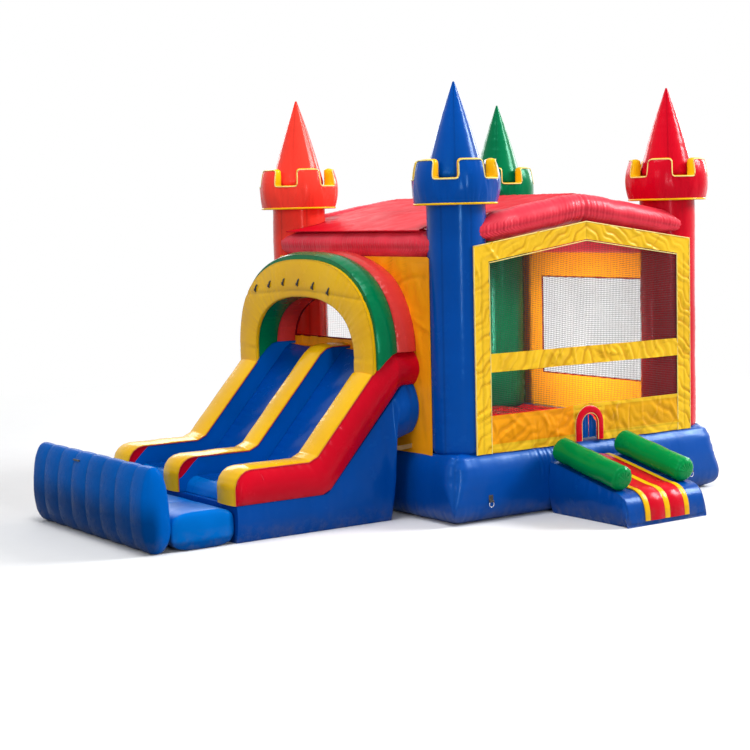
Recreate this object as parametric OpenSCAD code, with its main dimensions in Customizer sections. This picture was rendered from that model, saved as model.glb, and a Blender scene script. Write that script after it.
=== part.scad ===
// Inflatable bounce house with four turrets, a two-lane slide and an entrance ramp.
// Millimetres, +Z up. The origin is on the ground under the middle of the house.
// The slide runs out along -X and the entrance ramp along -Y.

/* [House] */
// Width and depth of the base
house_w = 4000; // [3600:50:4800]
// Height of the base and of the bounce floor's rolls
base_h = 750; // [650:10:900]
// Width of the base's four perimeter tubes
base_tube_w = 480; // [420:10:600]
// Radius of the perimeter tubes' upper outer edge
base_top_r = 200; // [120:10:240]
// Radius of the perimeter tubes' lower outer edge
base_foot_r = 100; // [40:10:140]
// Number of rolls across the bounce floor
floor_rolls = 8; // [5:1:10]
// Depth of the channels between the rolls
channel_depth = 60; // [20:5:90]
// Thickness of the skins around the air chambers
skin = 15; // [8:1:24]
// Gap between pieces that seat on a curved face
seat = 0.3; // [0.2:0.1:0.5]

/* [Turrets] */
// Radius of the corner columns
column_r = 320; // [280:10:390]
// Distance from a column's axis to the base's outer faces
column_inset = 430; // [400:10:520]
// Height of the column tops
column_top = 3690; // [3500:10:4430]
// Outer radius of the crowns
crown_r = 470; // [440:10:570]
// Crown's height below the column top
crown_below = 280; // [200:10:340]
// Crown's height above the column top
crown_above = 180; // [120:10:220]
// Depth of the notches in a crown
notch_depth = 200; // [100:10:240]
// Number of notches round a crown
notches = 5; // [4:1:7]
// Height of the spires
spire_h = 1016; // [800:8:1220]
// Radius of the spires' tips
spire_tip_r = 14; // [8:1:20]

/* [Beams and roof] */
// Radius of the beams between the columns
beam_r = 165; // [130:5:200]
// Column top down to the axis of the side beams
eave_drop = 705; // [600:5:800]
// Column top down to the gable beams' axis at the columns
gable_drop = 598; // [540:2:660]
// Rise of the gable beams from the columns to the middle
gable_rise = 241; // [180:1:300]
// Column top down to the underside of the roof's ridge
ridge_drop = 200; // [160:5:260]
// Thickness of the roof cover
roof_t = 12; // [8:1:20]

/* [Walls] */
// Thickness of the wall panels
panel_t = 12; // [8:1:20]
// Thickness of the nets and of the strap in front of the front net
net_t = 4; // [3:1:6]
// Height of the wall panels' tops above the side beams' undersides
wall_rise = 30; // [0:5:60]
// How far each wall panel reaches past the columns' axes
panel_over = 30; // [-70:10:70]
// Gap under the wall panels, above the base
panel_lift = 10; // [4:1:30]
// Width of the front frame's legs
frame_leg_w = 200; // [140:10:260]
// Depth of the front frame under its gable
frame_top_w = 200; // [140:10:260]
// Column top down to the front frame's top corners
frame_eave_drop = 730; // [690:5:800]
// Column top down to the front frame's peak
frame_peak_drop = 500; // [460:5:560]
// Height of the front's lower panel, above the base
lower_panel_h = 400; // [400:10:600]
// Height of the strap's lower edge, above the base
strap_at = 850; // [700:10:1000]
// Width of the strap across the front net
strap_w = 200; // [100:10:300]
// Half the width of the side and back windows
window_half_w = 1080; // [900:10:1150]
// Height of the windows' lower edge, above the base
window_at = 430; // [300:10:600]
// Height of the windows
window_h = 1270; // [1000:10:1500]
// Pitch of the gaps in the nets
net_pitch = 200; // [180:10:300]
// Width of the strands of the nets
strand_w = 12; // [8:1:24]

/* [Doorway] */
// Outer radius of the doorway's arched band
door_r = 205; // [170:5:240]
// Width of the arched band
door_band_w = 90; // [60:5:100]
// Height of the arch's centre, above the base
door_spring = 175; // [120:5:180]
// Thickness of the curtain flaps
flap_t = 6; // [4:1:8]
// Radius of the hem that each flap swings on
hem_r = 5; // [4:0.5:5.5]
// Width of the slit between the flaps
slit_w = 28; // [16:2:40]

/* [Slide] */
// Middle of the slide, to the back of the house's middle
slide_y = 180; // [0:10:200]
// Width of each outer rail
rail_w = 360; // [300:10:400]
// Width of the middle rail
middle_rail_w = 320; // [240:10:360]
// Width of each lane
lane_w = 860; // [700:10:900]
// Depth of the rails
rail_depth = 360; // [300:10:370]
// Height of the rails along the run-out
run_top = 750; // [700:10:820]
// Height of the rails at the house
slide_top = 1830; // [1760:10:1900]
// Length of the slide, from the house's wall
slide_len = 2278; // [2200:1:2500]
// Length of the flat top at the house
flat_len = 255; // [200:5:300]
// Length of the rounded top of the slope, along the slide
crest_len = 160; // [100:5:200]
// Drop of the rails over the rounded top of the slope
crest_fall = 77; // [50:1:90]
// Slope of the slide
slope = 48; // [44:1:50]
// Length of the rounded bends at the slope's foot
bend_len = 65; // [40:5:90]
// Radius of the rails' noses
nose_r = 190; // [120:10:240]
// Depth of the lanes below the rails along the run-out
lane_depth = 200; // [120:10:240]
// Distance from the rails' noses back to the lanes' ends
lane_inset = 80; // [60:5:120]
// Depth of the lanes below the rails at the house
lane_top_depth = 30; // [20:5:60]
// Gap between the slide's body and the base of the house
slide_gap = 180; // [120:10:220]
// Clearance over the base of the body's shoulder, at its rear
shoulder_lift = 120; // [100:10:250]
// Rise of the shoulder's underside towards the house
shoulder_rise = 80; // [60:10:300]
// Height of the house's sill above the rails
sill_rise = 70; // [40:5:100]
// Thickness of the caps on the rails and of the ramp's tread
cap_t = 12; // [8:1:20]

/* [Slide arch] */
// Height of the arch's springing
arch_foot = 1750; // [1700:10:1800]
// Rise of the arch's opening
arch_inner_rise = 660; // [560:10:720]
// Half the width of the arch's opening
arch_inner_w = 1030; // [980:10:1040]
// Rise of the arch's front face
face_rise = 1080; // [940:10:1100]
// Rise of the barrels behind the face
barrel_rise = 1130; // [1050:10:1200]
// Half the width of the arch's front face
face_w = 1400; // [1300:10:1420]
// Half the width of the barrels
barrel_w = 1430; // [1390:10:1460]
// Thickness of the front face
face_t = 40; // [20:5:60]
// Depth of the arch from its face to the house
arch_depth = 548; // [480:1:640]
// Depth of the green barrel, face included
green_depth = 295; // [220:5:340]
// Squareness of the arch: 2 is an ellipse
arch_power = 2.4; // [2:0.1:3]
// Number of hose ties along the face
ties = 6; // [4:1:9]
// Hose ties' row, to the front of the arch's middle
ties_near = 580; // [400:10:800]
// Hose ties' row, to the back of the arch's middle
ties_far = 970; // [600:10:980]
// Height of the row's ends above the springing
ties_at = 730; // [700:5:740]
// Rise of the row's middle above its ends
ties_rise = 90; // [20:5:100]

/* [Landing] */
// Height of the landing pad
pad_h = 390; // [330:10:390]
// Length of the landing pad
pad_len = 720; // [600:10:1200]
// Radius of the pad's upper edges
pad_r = 150; // [80:10:180]
// Height of the end bumper
bumper_h = 880; // [700:10:1000]
// Thickness of the end bumper
bumper_t = 320; // [260:10:400]
// Number of upright ribs of the bumper
bumper_ribs = 8; // [6:1:14]
// Depth of the creases between the ribs
rib_crease = 35; // [20:5:60]

/* [Ramp] */
// Middle of the ramp, to the right of the house's middle
ramp_x = -100; // [-300:10:300]
// Width of the ramp
ramp_w = 1120; // [1000:20:1400]
// Length of the ramp
ramp_len = 1200; // [1000:20:1500]
// Height of the ramp at the base
ramp_h = 570; // [500:10:700]
// Height of the ramp's front face
ramp_front_h = 310; // [240:10:400]
// Length of the flat top at the base
ramp_flat = 60; // [40:10:160]
// Width of the tread
tread_w = 640; // [500:20:680]
// Height of the tread's lower edge
tread_lift = 40; // [20:5:100]
// Radius of the bolsters at the ramp's sides
bolster_r = 135; // [110:5:150]
// Radius of the bolsters' rims
bolster_rim = 60; // [30:5:90]
// Length of the bolsters
bolster_len = 1050; // [850:10:1060]
// Bolsters' middle, up the slope from its own middle
bolster_up = 110; // [0:10:120]

/* [Climb inside] */
// Width of the climbing wall
climb_w = 1400; // [1000:50:1700]
// Length of its foot on the floor
climb_foot = 990; // [800:10:1200]
// Length of its top
climb_head = 390; // [300:10:500]
// Height of its top, above the base
climb_h = 1050; // [900:10:1120]
// Distance from its sides in to the step rolls' ends
step_inset = 100; // [50:10:200]
// Number of its step rolls
climb_steps_n = 4; // [3:1:6]
// Radius of the step rolls
climb_step_r = 55; // [40:5:80]

/* [Fittings] */
// Width of the strap that ties the slide to the house
tie_w = 50; // [30:5:60]
// Thickness of the tie strap
tie_t = 4; // [2:0.5:6]
// Distance from the slide's side in to the tie strap
tie_inset = 60; // [20:5:120]
// Height of the tie strap above the base
tie_lift = 15; // [12:1:60]
// Inner radius of the blower sleeve
sleeve_r = 120; // [90:5:150]
// Wall of the blower sleeve
sleeve_t = 10; // [6:1:16]
// Length of the blower sleeve
sleeve_len = 600; // [400:20:900]
// Blower sleeve to the right of the middle
sleeve_x = 1000; // [700:10:1200]
// Height of the sleeve's axis
sleeve_z = 280; // [260:5:340]
// Length of the deflation zip
zip_len = 640; // [400:10:800]
// Width of the zip's tape
zip_w = 40; // [30:1:60]
// Middle of the zip, to the left of the middle
zip_x = -700; // [-900:10:-500]
// Height of the zip
zip_z = 300; // [200:10:450]
// Length of the zip's slider
slider_len = 46; // [30:1:60]
// Radius of the anchor rings, to the wire's axis
ring_r = 30; // [24:1:40]
// Radius of the rings' wire
wire_r = 4; // [3:0.5:5]
// Play of the rings in their loops
ring_play = 3.6; // [2:0.1:5]
// Anchors to the left and right of the middle
anchor_x = 1500; // [1300:10:1700]
// Height of the anchors' loops
anchor_z = 230; // [180:5:400]

/* [Hidden] */
$fn = 96;
// How far a cutting shape reaches past what it cuts.
cut = 1;

half_w = house_w / 2;
column_at = half_w - column_inset;
panel_half_w = column_at + panel_over;
wall_in = column_at + column_r + seat;
wall_out = wall_in + panel_t;
wall_mid = wall_in + panel_t / 2;
panel_low = base_h + panel_lift;
floor_half = half_w - base_tube_w;
beam_at = column_at + beam_r;
eave_z = column_top - eave_drop;
gable_z = column_top - gable_drop;
gable_slope = atan(gable_rise / column_at);
gable_run = column_at / cos(gable_slope);
ridge_z = column_top - ridge_drop;
ridge_to_beam = [beam_at, ridge_z - eave_z];
roof_slope = atan2(ridge_to_beam[1], ridge_to_beam[0])
    - asin((beam_r + seat) / norm(ridge_to_beam));
roof_eave_x = beam_at + beam_r;
wall_top = eave_z - beam_r + wall_rise;

// Corner signs and the turning of each crown's notches, front left first.
CORNERS = [[-1, -1], [1, -1], [1, 1], [-1, 1]];
NOTCH_TURN = [219.5, 250.8, 255.2, 218.7];
COLOURS = ["royalblue", "crimson", "seagreen", "orangered"];

slide_end = -(wall_out + seat);
slide_front = slide_end - slide_len;
slide_half_w = rail_w + lane_w + middle_rail_w / 2;
slide_rear = -(half_w + slide_gap);
crest_x = slide_end - flat_len;
slope_top_x = crest_x - crest_len;
slope_top_z = slide_top - crest_fall;
slope_foot_x = slope_top_x - (slope_top_z - run_top) / tan(slope);
run_bottom = run_top - rail_depth;

arch_front = slide_end - arch_depth;
door_z = base_h + door_spring;
door_in_r = door_r - door_band_w;
hem_x = door_in_r - hem_r - seat;

pad_end = slide_front - seat - pad_len;
ramp_back = -(half_w + seat);
ramp_front = ramp_back - ramp_len;
ramp_slope = atan((ramp_h - ramp_front_h) / (ramp_len - ramp_flat));
loop_r = wire_r + ring_play;
loop_wall = 3;
loop_len = 24;
tab_t = 3;
loop_sink = 1;
loop_y = -(tab_t + loop_r + loop_wall - loop_sink);

function corner_names() = ["front_left", "front_right", "back_right", "back_left"];

// Points of an arc about c, from angle a to angle b.
function arc(c, r, a, b, n = 8) =
    [for (i = [0:n]) c + r * [cos(a + (b - a) * i / n), sin(a + (b - a) * i / n)]];

function unit(v) = v / norm(v);
function left_of(v) = [-v[1], v[0]];

// An open path moved to its right by d, with mitred corners.
function moved_path(p, d) = [
    for (i = [0:len(p) - 1])
        let (
            a = left_of(unit(p[max(i, 1)] - p[max(i, 1) - 1])),
            b = left_of(unit(p[min(i + 1, len(p) - 1)] - p[min(i, len(p) - 2)]))
        )
        p[i] - (a + b) / (1 + a * b) * d
];

function reversed(p) = [for (i = [len(p) - 1:-1:0]) p[i]];

// Prisms of a drawn outline: along X its axes are Y and Z, along Y they are X and Z.
module along_x(from, to) {
    translate([from, 0, 0]) rotate([90, 0, 90]) linear_extrude(to - from) children();
}

module along_y(from, to) {
    translate([0, to, 0]) rotate([90, 0, 0]) linear_extrude(to - from) children();
}

// Upright panels, drawn seen from outside, on the four walls.
module on_front(depth, thick) {
    translate([0, -depth, 0]) rotate([90, 0, 0]) linear_extrude(thick) children();
}

module on_wall(turn, depth, thick) {
    rotate(turn) on_front(depth, thick) children();
}

// Base and floor

// Outline of a perimeter tube, drawn inward from its outer face, smaller by d all round.
function tube_outline(d) = concat(
    [[base_tube_w - d, d]],
    arc([base_foot_r, base_foot_r], base_foot_r - d, 270, 180, 6),
    arc([base_top_r, base_h - base_top_r], base_top_r - d, 180, 90, 8),
    [[base_tube_w - d, base_h - d]]
);

// A length of tube with its ends cut on the mitre.
module mitred_tube(d) {
    end = half_w - seat / sqrt(2) - d * sqrt(2);
    intersection() {
        along_x(-half_w, half_w) polygon(tube_outline(d));
        linear_extrude(base_h) polygon([
            [-end, 0], [end, 0], [end - base_tube_w, base_tube_w], [base_tube_w - end, base_tube_w]
        ]);
    }
}

module base_tubes() {
    color("royalblue") for (turn = [0:90:270]) rotate(turn) translate([0, -half_w, 0])
        difference() {
            mitred_tube(0);
            mitred_tube(skin);
        }
}

module bounce_floor() {
    roll = 2 * floor_half / floor_rolls;
    per_roll = 6;
    steps = floor_rolls * per_roll;
    top = [for (i = [steps:-1:0])
        [i * roll / per_roll - floor_half,
         base_h - channel_depth + channel_depth * abs(sin(180 * i / per_roll))]];
    color("crimson") difference() {
        along_y(-floor_half, floor_half)
            polygon(concat([[-floor_half, 0], [floor_half, 0]], top));
        translate([0, 0, skin]) linear_extrude(base_h - channel_depth - 2 * skin)
            square(2 * (floor_half - skin), center = true);
    }
}

// Turrets

module at_corner(i) {
    translate([CORNERS[i][0] * column_at, CORNERS[i][1] * column_at, 0]) children();
}

module column_shape(grow) {
    translate([0, 0, base_h]) cylinder(r = column_r + grow, h = column_top - base_h);
}

module column(i) {
    color(COLOURS[i]) at_corner(i) difference() {
        column_shape(0);
        translate([0, 0, base_h + skin])
            cylinder(r = column_r - skin, h = column_top - base_h - 2 * skin);
    }
}

module crown(i) {
    low = column_top - crown_below;
    high = column_top + crown_above;
    reach = 2 * crown_r;
    half_notch = 90 / notches;
    color(COLOURS[i]) at_corner(i) difference() {
        translate([0, 0, low]) cylinder(r = crown_r, h = high - low);
        translate([0, 0, low - cut]) cylinder(r = column_r + seat, h = high - low + 2 * cut);
        for (k = [0:notches - 1]) rotate(NOTCH_TURN[i] + k * 360 / notches)
            translate([0, 0, high - notch_depth]) linear_extrude(notch_depth + cut)
                polygon([
                    [0, 0],
                    reach * [cos(half_notch), -sin(half_notch)],
                    reach * [cos(half_notch), sin(half_notch)]
                ]);
    }
}

module spire(i) {
    color(COLOURS[i]) at_corner(i) translate([0, 0, column_top])
        cylinder(r1 = column_r, r2 = spire_tip_r, h = spire_h);
}

// Beams and roof

module columns_cut() {
    for (i = [0:3]) at_corner(i) column_shape(seat);
}

module side_beam(side) {
    color("crimson") difference() {
        translate([side * beam_at, 0, eave_z]) rotate([90, 0, 0])
            cylinder(r = beam_r, h = 2 * column_at, center = true);
        columns_cut();
    }
}

// The right half of the back gable beam, from the middle to the column.
module gable_half() {
    over = beam_r;
    intersection() {
        translate([0, beam_at, gable_z + gable_rise]) rotate([0, 90 + gable_slope, 0])
            translate([0, 0, -over]) cylinder(r = beam_r, h = gable_run + over);
        translate([0, beam_at - 2 * beam_r, 0]) cube([column_at, 4 * beam_r, column_top]);
    }
}

module end_beam(front) {
    color("crimson") mirror([0, front < 0 ? 1 : 0, 0]) difference() {
        union() {
            gable_half();
            mirror([1, 0, 0]) gable_half();
        }
        columns_cut();
    }
}

// How far from the middle the roof meets the gable beams, at a distance x from the ridge.
function roof_edge(x) =
    let (
        roof_under = ridge_z - x * tan(roof_slope),
        axis_z = gable_z + gable_rise - x * tan(gable_slope),
        over_axis = (roof_under - axis_z) * cos(gable_slope)
    )
    beam_at - sqrt(pow(beam_r + seat, 2) - pow(over_axis, 2)) - seat;

module roof_cover() {
    eave_roof_z = ridge_z - roof_eave_x * tan(roof_slope);
    thick = roof_t / cos(roof_slope);
    strips = 16;
    reach = [for (i = [0:2 * strips]) (i / strips - 1) * roof_eave_x];
    color("crimson") difference() {
        intersection() {
            along_y(-half_w, half_w) polygon([
                [-roof_eave_x, eave_roof_z], [0, ridge_z], [roof_eave_x, eave_roof_z],
                [roof_eave_x, eave_roof_z + thick], [0, ridge_z + thick],
                [-roof_eave_x, eave_roof_z + thick]
            ]);
            linear_extrude(column_top) polygon(concat(
                [for (x = reach) [x, -roof_edge(abs(x))]],
                [for (x = reversed(reach)) [x, roof_edge(abs(x))]]
            ));
        }
        columns_cut();
    }
}

// Front of the house

frame_eave = column_top - frame_eave_drop;
frame_peak = column_top - frame_peak_drop;
opening_half = panel_half_w - frame_leg_w;
opening_eave = frame_peak - frame_top_w - (frame_peak - frame_eave) * opening_half / panel_half_w;
lower_top = base_h + lower_panel_h;

module gable_outline(half, low, eave, peak) {
    polygon([[-half, low], [half, low], [half, eave], [0, peak], [-half, eave]]);
}

module front_frame() {
    color("gold") on_front(wall_in, panel_t) difference() {
        gable_outline(panel_half_w, panel_low, frame_eave, frame_peak);
        gable_outline(opening_half, panel_low - cut, opening_eave, frame_peak - frame_top_w);
    }
}

// Square gaps on the net's pitch that lie whole inside the given half width and heights.
module net_gaps(half, low, high) {
    across = floor((2 * half - strand_w) / net_pitch);
    up = floor((high - low - strand_w) / net_pitch);
    gap = net_pitch - strand_w;
    for (i = [0:across - 1]) for (k = [0:up - 1])
        translate([(i - across / 2) * net_pitch + strand_w / 2, low + strand_w + k * net_pitch])
            square(gap);
}

module front_net() {
    color("dimgray") on_front(wall_in, net_t) difference() {
        gable_outline(opening_half, lower_top, opening_eave, frame_peak - frame_top_w);
        net_gaps(opening_half, lower_top, opening_eave);
    }
}

module front_strap() {
    color("gold") on_front(wall_in + net_t, panel_t - net_t)
        translate([-opening_half, base_h + strap_at]) square([2 * opening_half, strap_w]);
}

// The doorway's arch, drawn on the front wall.
module door_outline(r) {
    translate([0, door_z]) circle(r);
    translate([-r, panel_low - cut]) square([2 * r, door_z - panel_low + cut]);
}

module front_lower_panel() {
    color("gold") on_front(wall_in, panel_t) difference() {
        translate([-opening_half, panel_low]) square([2 * opening_half, lower_top - panel_low]);
        door_outline(door_r + seat);
    }
}

module doorway_band() {
    color("crimson") on_front(wall_in, panel_t) difference() {
        intersection() {
            door_outline(door_r);
            translate([-door_r, panel_low]) square([2 * door_r, 2 * door_r + door_spring]);
        }
        door_outline(door_in_r);
    }
}

// A curtain flap on the left, with the round hem that it swings on.
module door_flap(side) {
    flap_gap = 8;
    inner = slit_w / 2;
    color("mediumblue") mirror([side > 0 ? 1 : 0, 0, 0]) union() {
        translate([-hem_x, -wall_mid, panel_low]) cylinder(r = hem_r, h = door_z - panel_low);
        on_front(wall_mid - flap_t / 2, flap_t) intersection() {
            door_outline(door_in_r - flap_gap);
            translate([-hem_x, panel_low + flap_gap])
                square([hem_x - inner, door_in_r + door_spring]);
        }
    }
}

// Other walls

module window_outline() {
    translate([-window_half_w, base_h + window_at]) square([2 * window_half_w, window_h]);
}

module wall_outline() {
    translate([-panel_half_w, panel_low]) square([2 * panel_half_w, wall_top - panel_low]);
}

module window_wall(turn) {
    color("orange") on_wall(turn, wall_in, panel_t) difference() {
        wall_outline();
        window_outline();
    }
}

module window_net(turn) {
    low = base_h + window_at;
    color("whitesmoke") on_wall(turn, wall_in, net_t) difference() {
        window_outline();
        net_gaps(window_half_w, low, low + window_h);
    }
}

// Half of the arch's rounded line and its mirror, about the slide's middle, seen along +X.
function arch_line(half, rise, n = 32) = [
    for (i = [0:n])
        let (c = cos(180 * i / n), s = sin(180 * i / n))
        [slide_y + half * sign(c) * pow(abs(c), 2 / arch_power),
         arch_foot + rise * pow(abs(s), 2 / arch_power)]
];

module left_wall() {
    sill = slide_top + sill_rise;
    color("orange") difference() {
        on_wall(-90, wall_in, panel_t) wall_outline();
        intersection() {
            along_x(-wall_out - cut, cut - wall_in) polygon(arch_line(arch_inner_w, arch_inner_rise));
            translate([-wall_out - 2 * cut, slide_y - arch_inner_w, sill])
                cube([panel_t + 4 * cut, 2 * arch_inner_w, column_top]);
        }
    }
}

// Slide

// Top line of the rails from the nose up to the house, in X and Z.
up_slope = bend_len * [cos(slope), sin(slope)];
crest_bend = [crest_len / 2, 3 / 4 * crest_fall];
rail_path = concat(
    [[slide_front, run_bottom]],
    arc([slide_front + nose_r, run_top - nose_r], nose_r, 180, 90, 6),
    [[slope_foot_x - bend_len, run_top], [slope_foot_x, run_top] + up_slope],
    [[slope_top_x, slope_top_z], [slope_top_x, slope_top_z] + crest_bend],
    [[crest_x, slide_top], [slide_end, slide_top]]
);

// Line under the rails, on which the body's two blocks end.
under_foot_x = slope_foot_x + rail_depth * tan(slope / 2);
under_top_x = under_foot_x + (slide_top - run_top) / tan(slope);
under_path = [
    [slide_front, run_bottom], [under_foot_x, run_bottom],
    [under_top_x, slide_top - rail_depth], [slide_end, slide_top - rail_depth]
];

// Line of the lanes, which sink below the rails and meet them again at the house.
lane_run = run_top - lane_depth;
lane_high = slide_top - lane_top_depth;
lane_foot_x = slope_foot_x + lane_depth * tan(slope / 2);
lane_top_x = lane_foot_x + (lane_high - lane_run) / tan(slope);
lane_nose_r = lane_run - run_bottom;
lane_path = concat(
    arc([slide_front + lane_inset + lane_nose_r, run_bottom], lane_nose_r, 180, 90, 6),
    [[lane_foot_x - bend_len, lane_run], [lane_foot_x, lane_run] + up_slope],
    [[lane_top_x, lane_high] - up_slope, [lane_top_x + crest_len / 8, lane_high]],
    [[slide_end, lane_high]]
);

near_y = slide_y - slide_half_w;
lane_near_y = near_y + rail_w;
middle_y = lane_near_y + lane_w;
lane_far_y = middle_y + middle_rail_w;
far_y = lane_far_y + lane_w;

module rail(from, width, colour) {
    color(colour) along_y(from, from + width) polygon(concat(
        rail_path, reversed([for (i = [1:3]) under_path[i]])
    ));
}

module lane(from) {
    color("royalblue") along_y(from, from + lane_w) polygon(concat(
        lane_path, reversed([for (i = [1:3]) under_path[i]])
    ));
}

// Strips that cover the noses and tops of the rails, the outer two up to the arch.
module rail_caps() {
    last = len(rail_path) - 5;
    foot = rail_path[last];
    rise = rail_path[last + 1] - foot;
    line = concat(
        [for (i = [0:last]) rail_path[i]],
        [foot + rise * (arch_front - seat - foot[0]) / rise[0]]
    );
    color("gold") {
        for (y = [near_y, far_y])
            along_y(y, y + rail_w) polygon(concat(moved_path(line, -cap_t), reversed(line)));
        along_y(middle_y, middle_y + middle_rail_w)
            polygon(concat(moved_path(rail_path, -cap_t), reversed(rail_path)));
    }
}

module slide_toe() {
    color("royalblue") along_y(near_y, far_y + rail_w) difference() {
        translate([slide_front, 0]) square([under_foot_x - slide_front, run_bottom]);
        translate([slide_front + skin, skin])
            square([under_foot_x - slide_front - 2 * skin, run_bottom - 2 * skin]);
    }
}

// The body under the slope, with a shoulder that leans over the base to the house.
module slide_incline() {
    high = slide_top - rail_depth;
    low = base_h + shoulder_lift;
    inset = 2 * skin;
    color("royalblue") difference() {
        along_y(near_y, far_y + rail_w) polygon([
            [under_foot_x, 0], [slide_rear, 0], [slide_rear, low],
            [slide_end, low + shoulder_rise], [slide_end, high],
            [under_top_x, high], [under_foot_x, run_bottom]
        ]);
        along_y(near_y + skin, far_y + rail_w - skin) polygon([
            [under_foot_x + skin, skin], [slide_rear - skin, skin],
            [slide_rear - skin, low + inset], [slide_end - skin, low + shoulder_rise + inset],
            [slide_end - skin, high - skin], [under_top_x, high - inset],
            [under_foot_x + skin, run_bottom - skin]
        ]);
    }
}

// Arch over the top of the slide

// A ring from x0 to x1 that stands astride the rails.
module arch_ring(x0, x1, half, rise) {
    leg = slide_top - 3 * crest_len;
    outer = arch_line(half, rise);
    inner = reversed(arch_line(arch_inner_w, arch_inner_rise));
    difference() {
        along_x(x0, x1) polygon(concat(
            [[slide_y + half, leg]], outer, [[slide_y - half, leg]],
            [[slide_y - arch_inner_w, leg]], inner, [[slide_y + arch_inner_w, leg]]
        ));
        along_y(near_y - half, far_y + half) polygon(concat(
            moved_path(rail_path, -seat), [[slide_end + skin, slide_top + seat]],
            [[slide_end + skin, 0], [slide_front, 0]]
        ));
    }
}

module arch_face() {
    color("gold") arch_ring(arch_front, arch_front + face_t, face_w, face_rise);
}

module arch_green() {
    color("seagreen")
        arch_ring(arch_front + face_t, arch_front + green_depth, barrel_w, barrel_rise);
}

module arch_red() {
    color("firebrick") arch_ring(arch_front + green_depth, slide_end, barrel_w, barrel_rise);
}

module arch_hose_ties() {
    tie = [10, 46, 22];
    color("darkgreen") for (i = [0:ties - 1]) {
        along = i / (ties - 1);
        translate([
            arch_front - tie[0],
            slide_y - ties_near + along * (ties_near + ties_far) - tie[1] / 2,
            arch_foot + ties_at + ties_rise * sin(180 * along) - tie[2] / 2
        ]) cube(tie);
    }
}

// Landing

module landing_pad() {
    edge = function (d) concat(
        [[near_y + d, d]],
        arc([near_y + pad_r, pad_h - pad_r], pad_r - d, 180, 90, 6),
        arc([far_y + rail_w - pad_r, pad_h - pad_r], pad_r - d, 90, 0, 6),
        [[far_y + rail_w - d, d]]
    );
    color("dodgerblue") difference() {
        along_x(pad_end, slide_front - seat) polygon(edge(0));
        along_x(pad_end + skin, slide_front - seat - skin) polygon(edge(skin));
    }
}

module landing_bumper() {
    per_rib = 6;
    steps = bumper_ribs * per_rib;
    width = far_y + rail_w - near_y;
    swell = function (i) rib_crease * (1 - abs(sin(180 * i / per_rib)));
    front = pad_end - seat - bumper_t;
    outer = [for (i = [0:steps]) [front + swell(i), near_y + i * width / steps]];
    inner = [for (i = [steps:-1:0]) [pad_end - seat - swell(i), near_y + i * width / steps]];
    core = rib_crease + skin;
    color("royalblue") difference() {
        linear_extrude(bumper_h) polygon(concat(outer, inner));
        translate([front + core, near_y + core, skin])
            cube([bumper_t - 2 * core, width - 2 * core, bumper_h - 2 * skin]);
    }
}

// Ramp

module ramp_body() {
    inset = 2 * skin;
    color("royalblue") difference() {
        along_x(ramp_x - ramp_w / 2, ramp_x + ramp_w / 2) polygon([
            [ramp_back, 0], [ramp_front, 0], [ramp_front, ramp_front_h],
            [ramp_back - ramp_flat, ramp_h], [ramp_back, ramp_h]
        ]);
        along_x(ramp_x + skin - ramp_w / 2, ramp_x + ramp_w / 2 - skin) polygon([
            [ramp_back - skin, skin], [ramp_front + skin, skin],
            [ramp_front + skin, ramp_front_h - inset],
            [ramp_back - ramp_flat - skin, ramp_h - inset], [ramp_back - skin, ramp_h - inset]
        ]);
    }
}

module ramp_tread() {
    line = [
        [ramp_back, ramp_h], [ramp_back - ramp_flat, ramp_h],
        [ramp_front, ramp_front_h], [ramp_front, tread_lift]
    ];
    color("crimson") along_x(ramp_x - tread_w / 2, ramp_x + tread_w / 2)
        polygon(concat(moved_path(line, cap_t), reversed(line)));
}

module ramp_bolsters() {
    straight = bolster_len / 2 - bolster_rim;
    flat_r = bolster_r - bolster_rim;
    middle_y = (ramp_front + ramp_back - ramp_flat) / 2;
    middle_z = (ramp_front_h + ramp_h) / 2;
    color("seagreen") for (side = [-1, 1])
        translate([ramp_x + side * (tread_w / 2 + bolster_r + seat), middle_y, middle_z])
            rotate([90 + ramp_slope, 0, 0]) translate([0, bolster_r + seat, -bolster_up])
                rotate_extrude() polygon(concat(
                    [[0, -bolster_len / 2]],
                    arc([flat_r, -straight], bolster_rim, -90, 0, 5),
                    arc([flat_r, straight], bolster_rim, 0, 90, 5),
                    [[0, bolster_len / 2]]
                ));
}

// A strap that ties the slide to the wall of the house.
module tie_strap() {
    color("tan") translate([slide_rear, near_y + tie_inset, base_h + tie_lift])
        cube([-wall_out - slide_rear, tie_t, tie_w]);
}

// Climbing wall inside the house

climb_back = seat - wall_in;
climb_slope = atan(climb_h / (climb_foot - climb_head));

module climb_wall() {
    inset = 2 * skin;
    outline = function (d, e) [
        [climb_back + d, base_h + d], [climb_back + climb_foot - e, base_h + d],
        [climb_back + climb_head - d, base_h + climb_h - e], [climb_back + d, base_h + climb_h - e]
    ];
    color("royalblue") difference() {
        along_y(slide_y - climb_w / 2, slide_y + climb_w / 2) polygon(outline(0, 0));
        along_y(slide_y - climb_w / 2 + skin, slide_y + climb_w / 2 - skin)
            polygon(outline(skin, inset));
    }
}

module climb_steps() {
    across = climb_w - 2 * step_inset;
    color("orange") for (k = [1:climb_steps_n]) {
        along = k / (climb_steps_n + 1);
        translate([
            climb_back + climb_foot - along * (climb_foot - climb_head)
                + (climb_step_r + seat) * sin(climb_slope),
            slide_y,
            base_h + along * climb_h + (climb_step_r + seat) * cos(climb_slope)
        ]) rotate([90, 0, 0]) cylinder(r = climb_step_r, h = across, center = true);
    }
}

// Fittings on the base

module blower_sleeve() {
    color("royalblue") translate([sleeve_x, half_w, sleeve_z]) rotate([-90, 0, 0])
        difference() {
            cylinder(r = sleeve_r + sleeve_t, h = sleeve_len);
            translate([0, 0, -cut]) cylinder(r = sleeve_r, h = sleeve_len + 2 * cut);
        }
}

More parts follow.
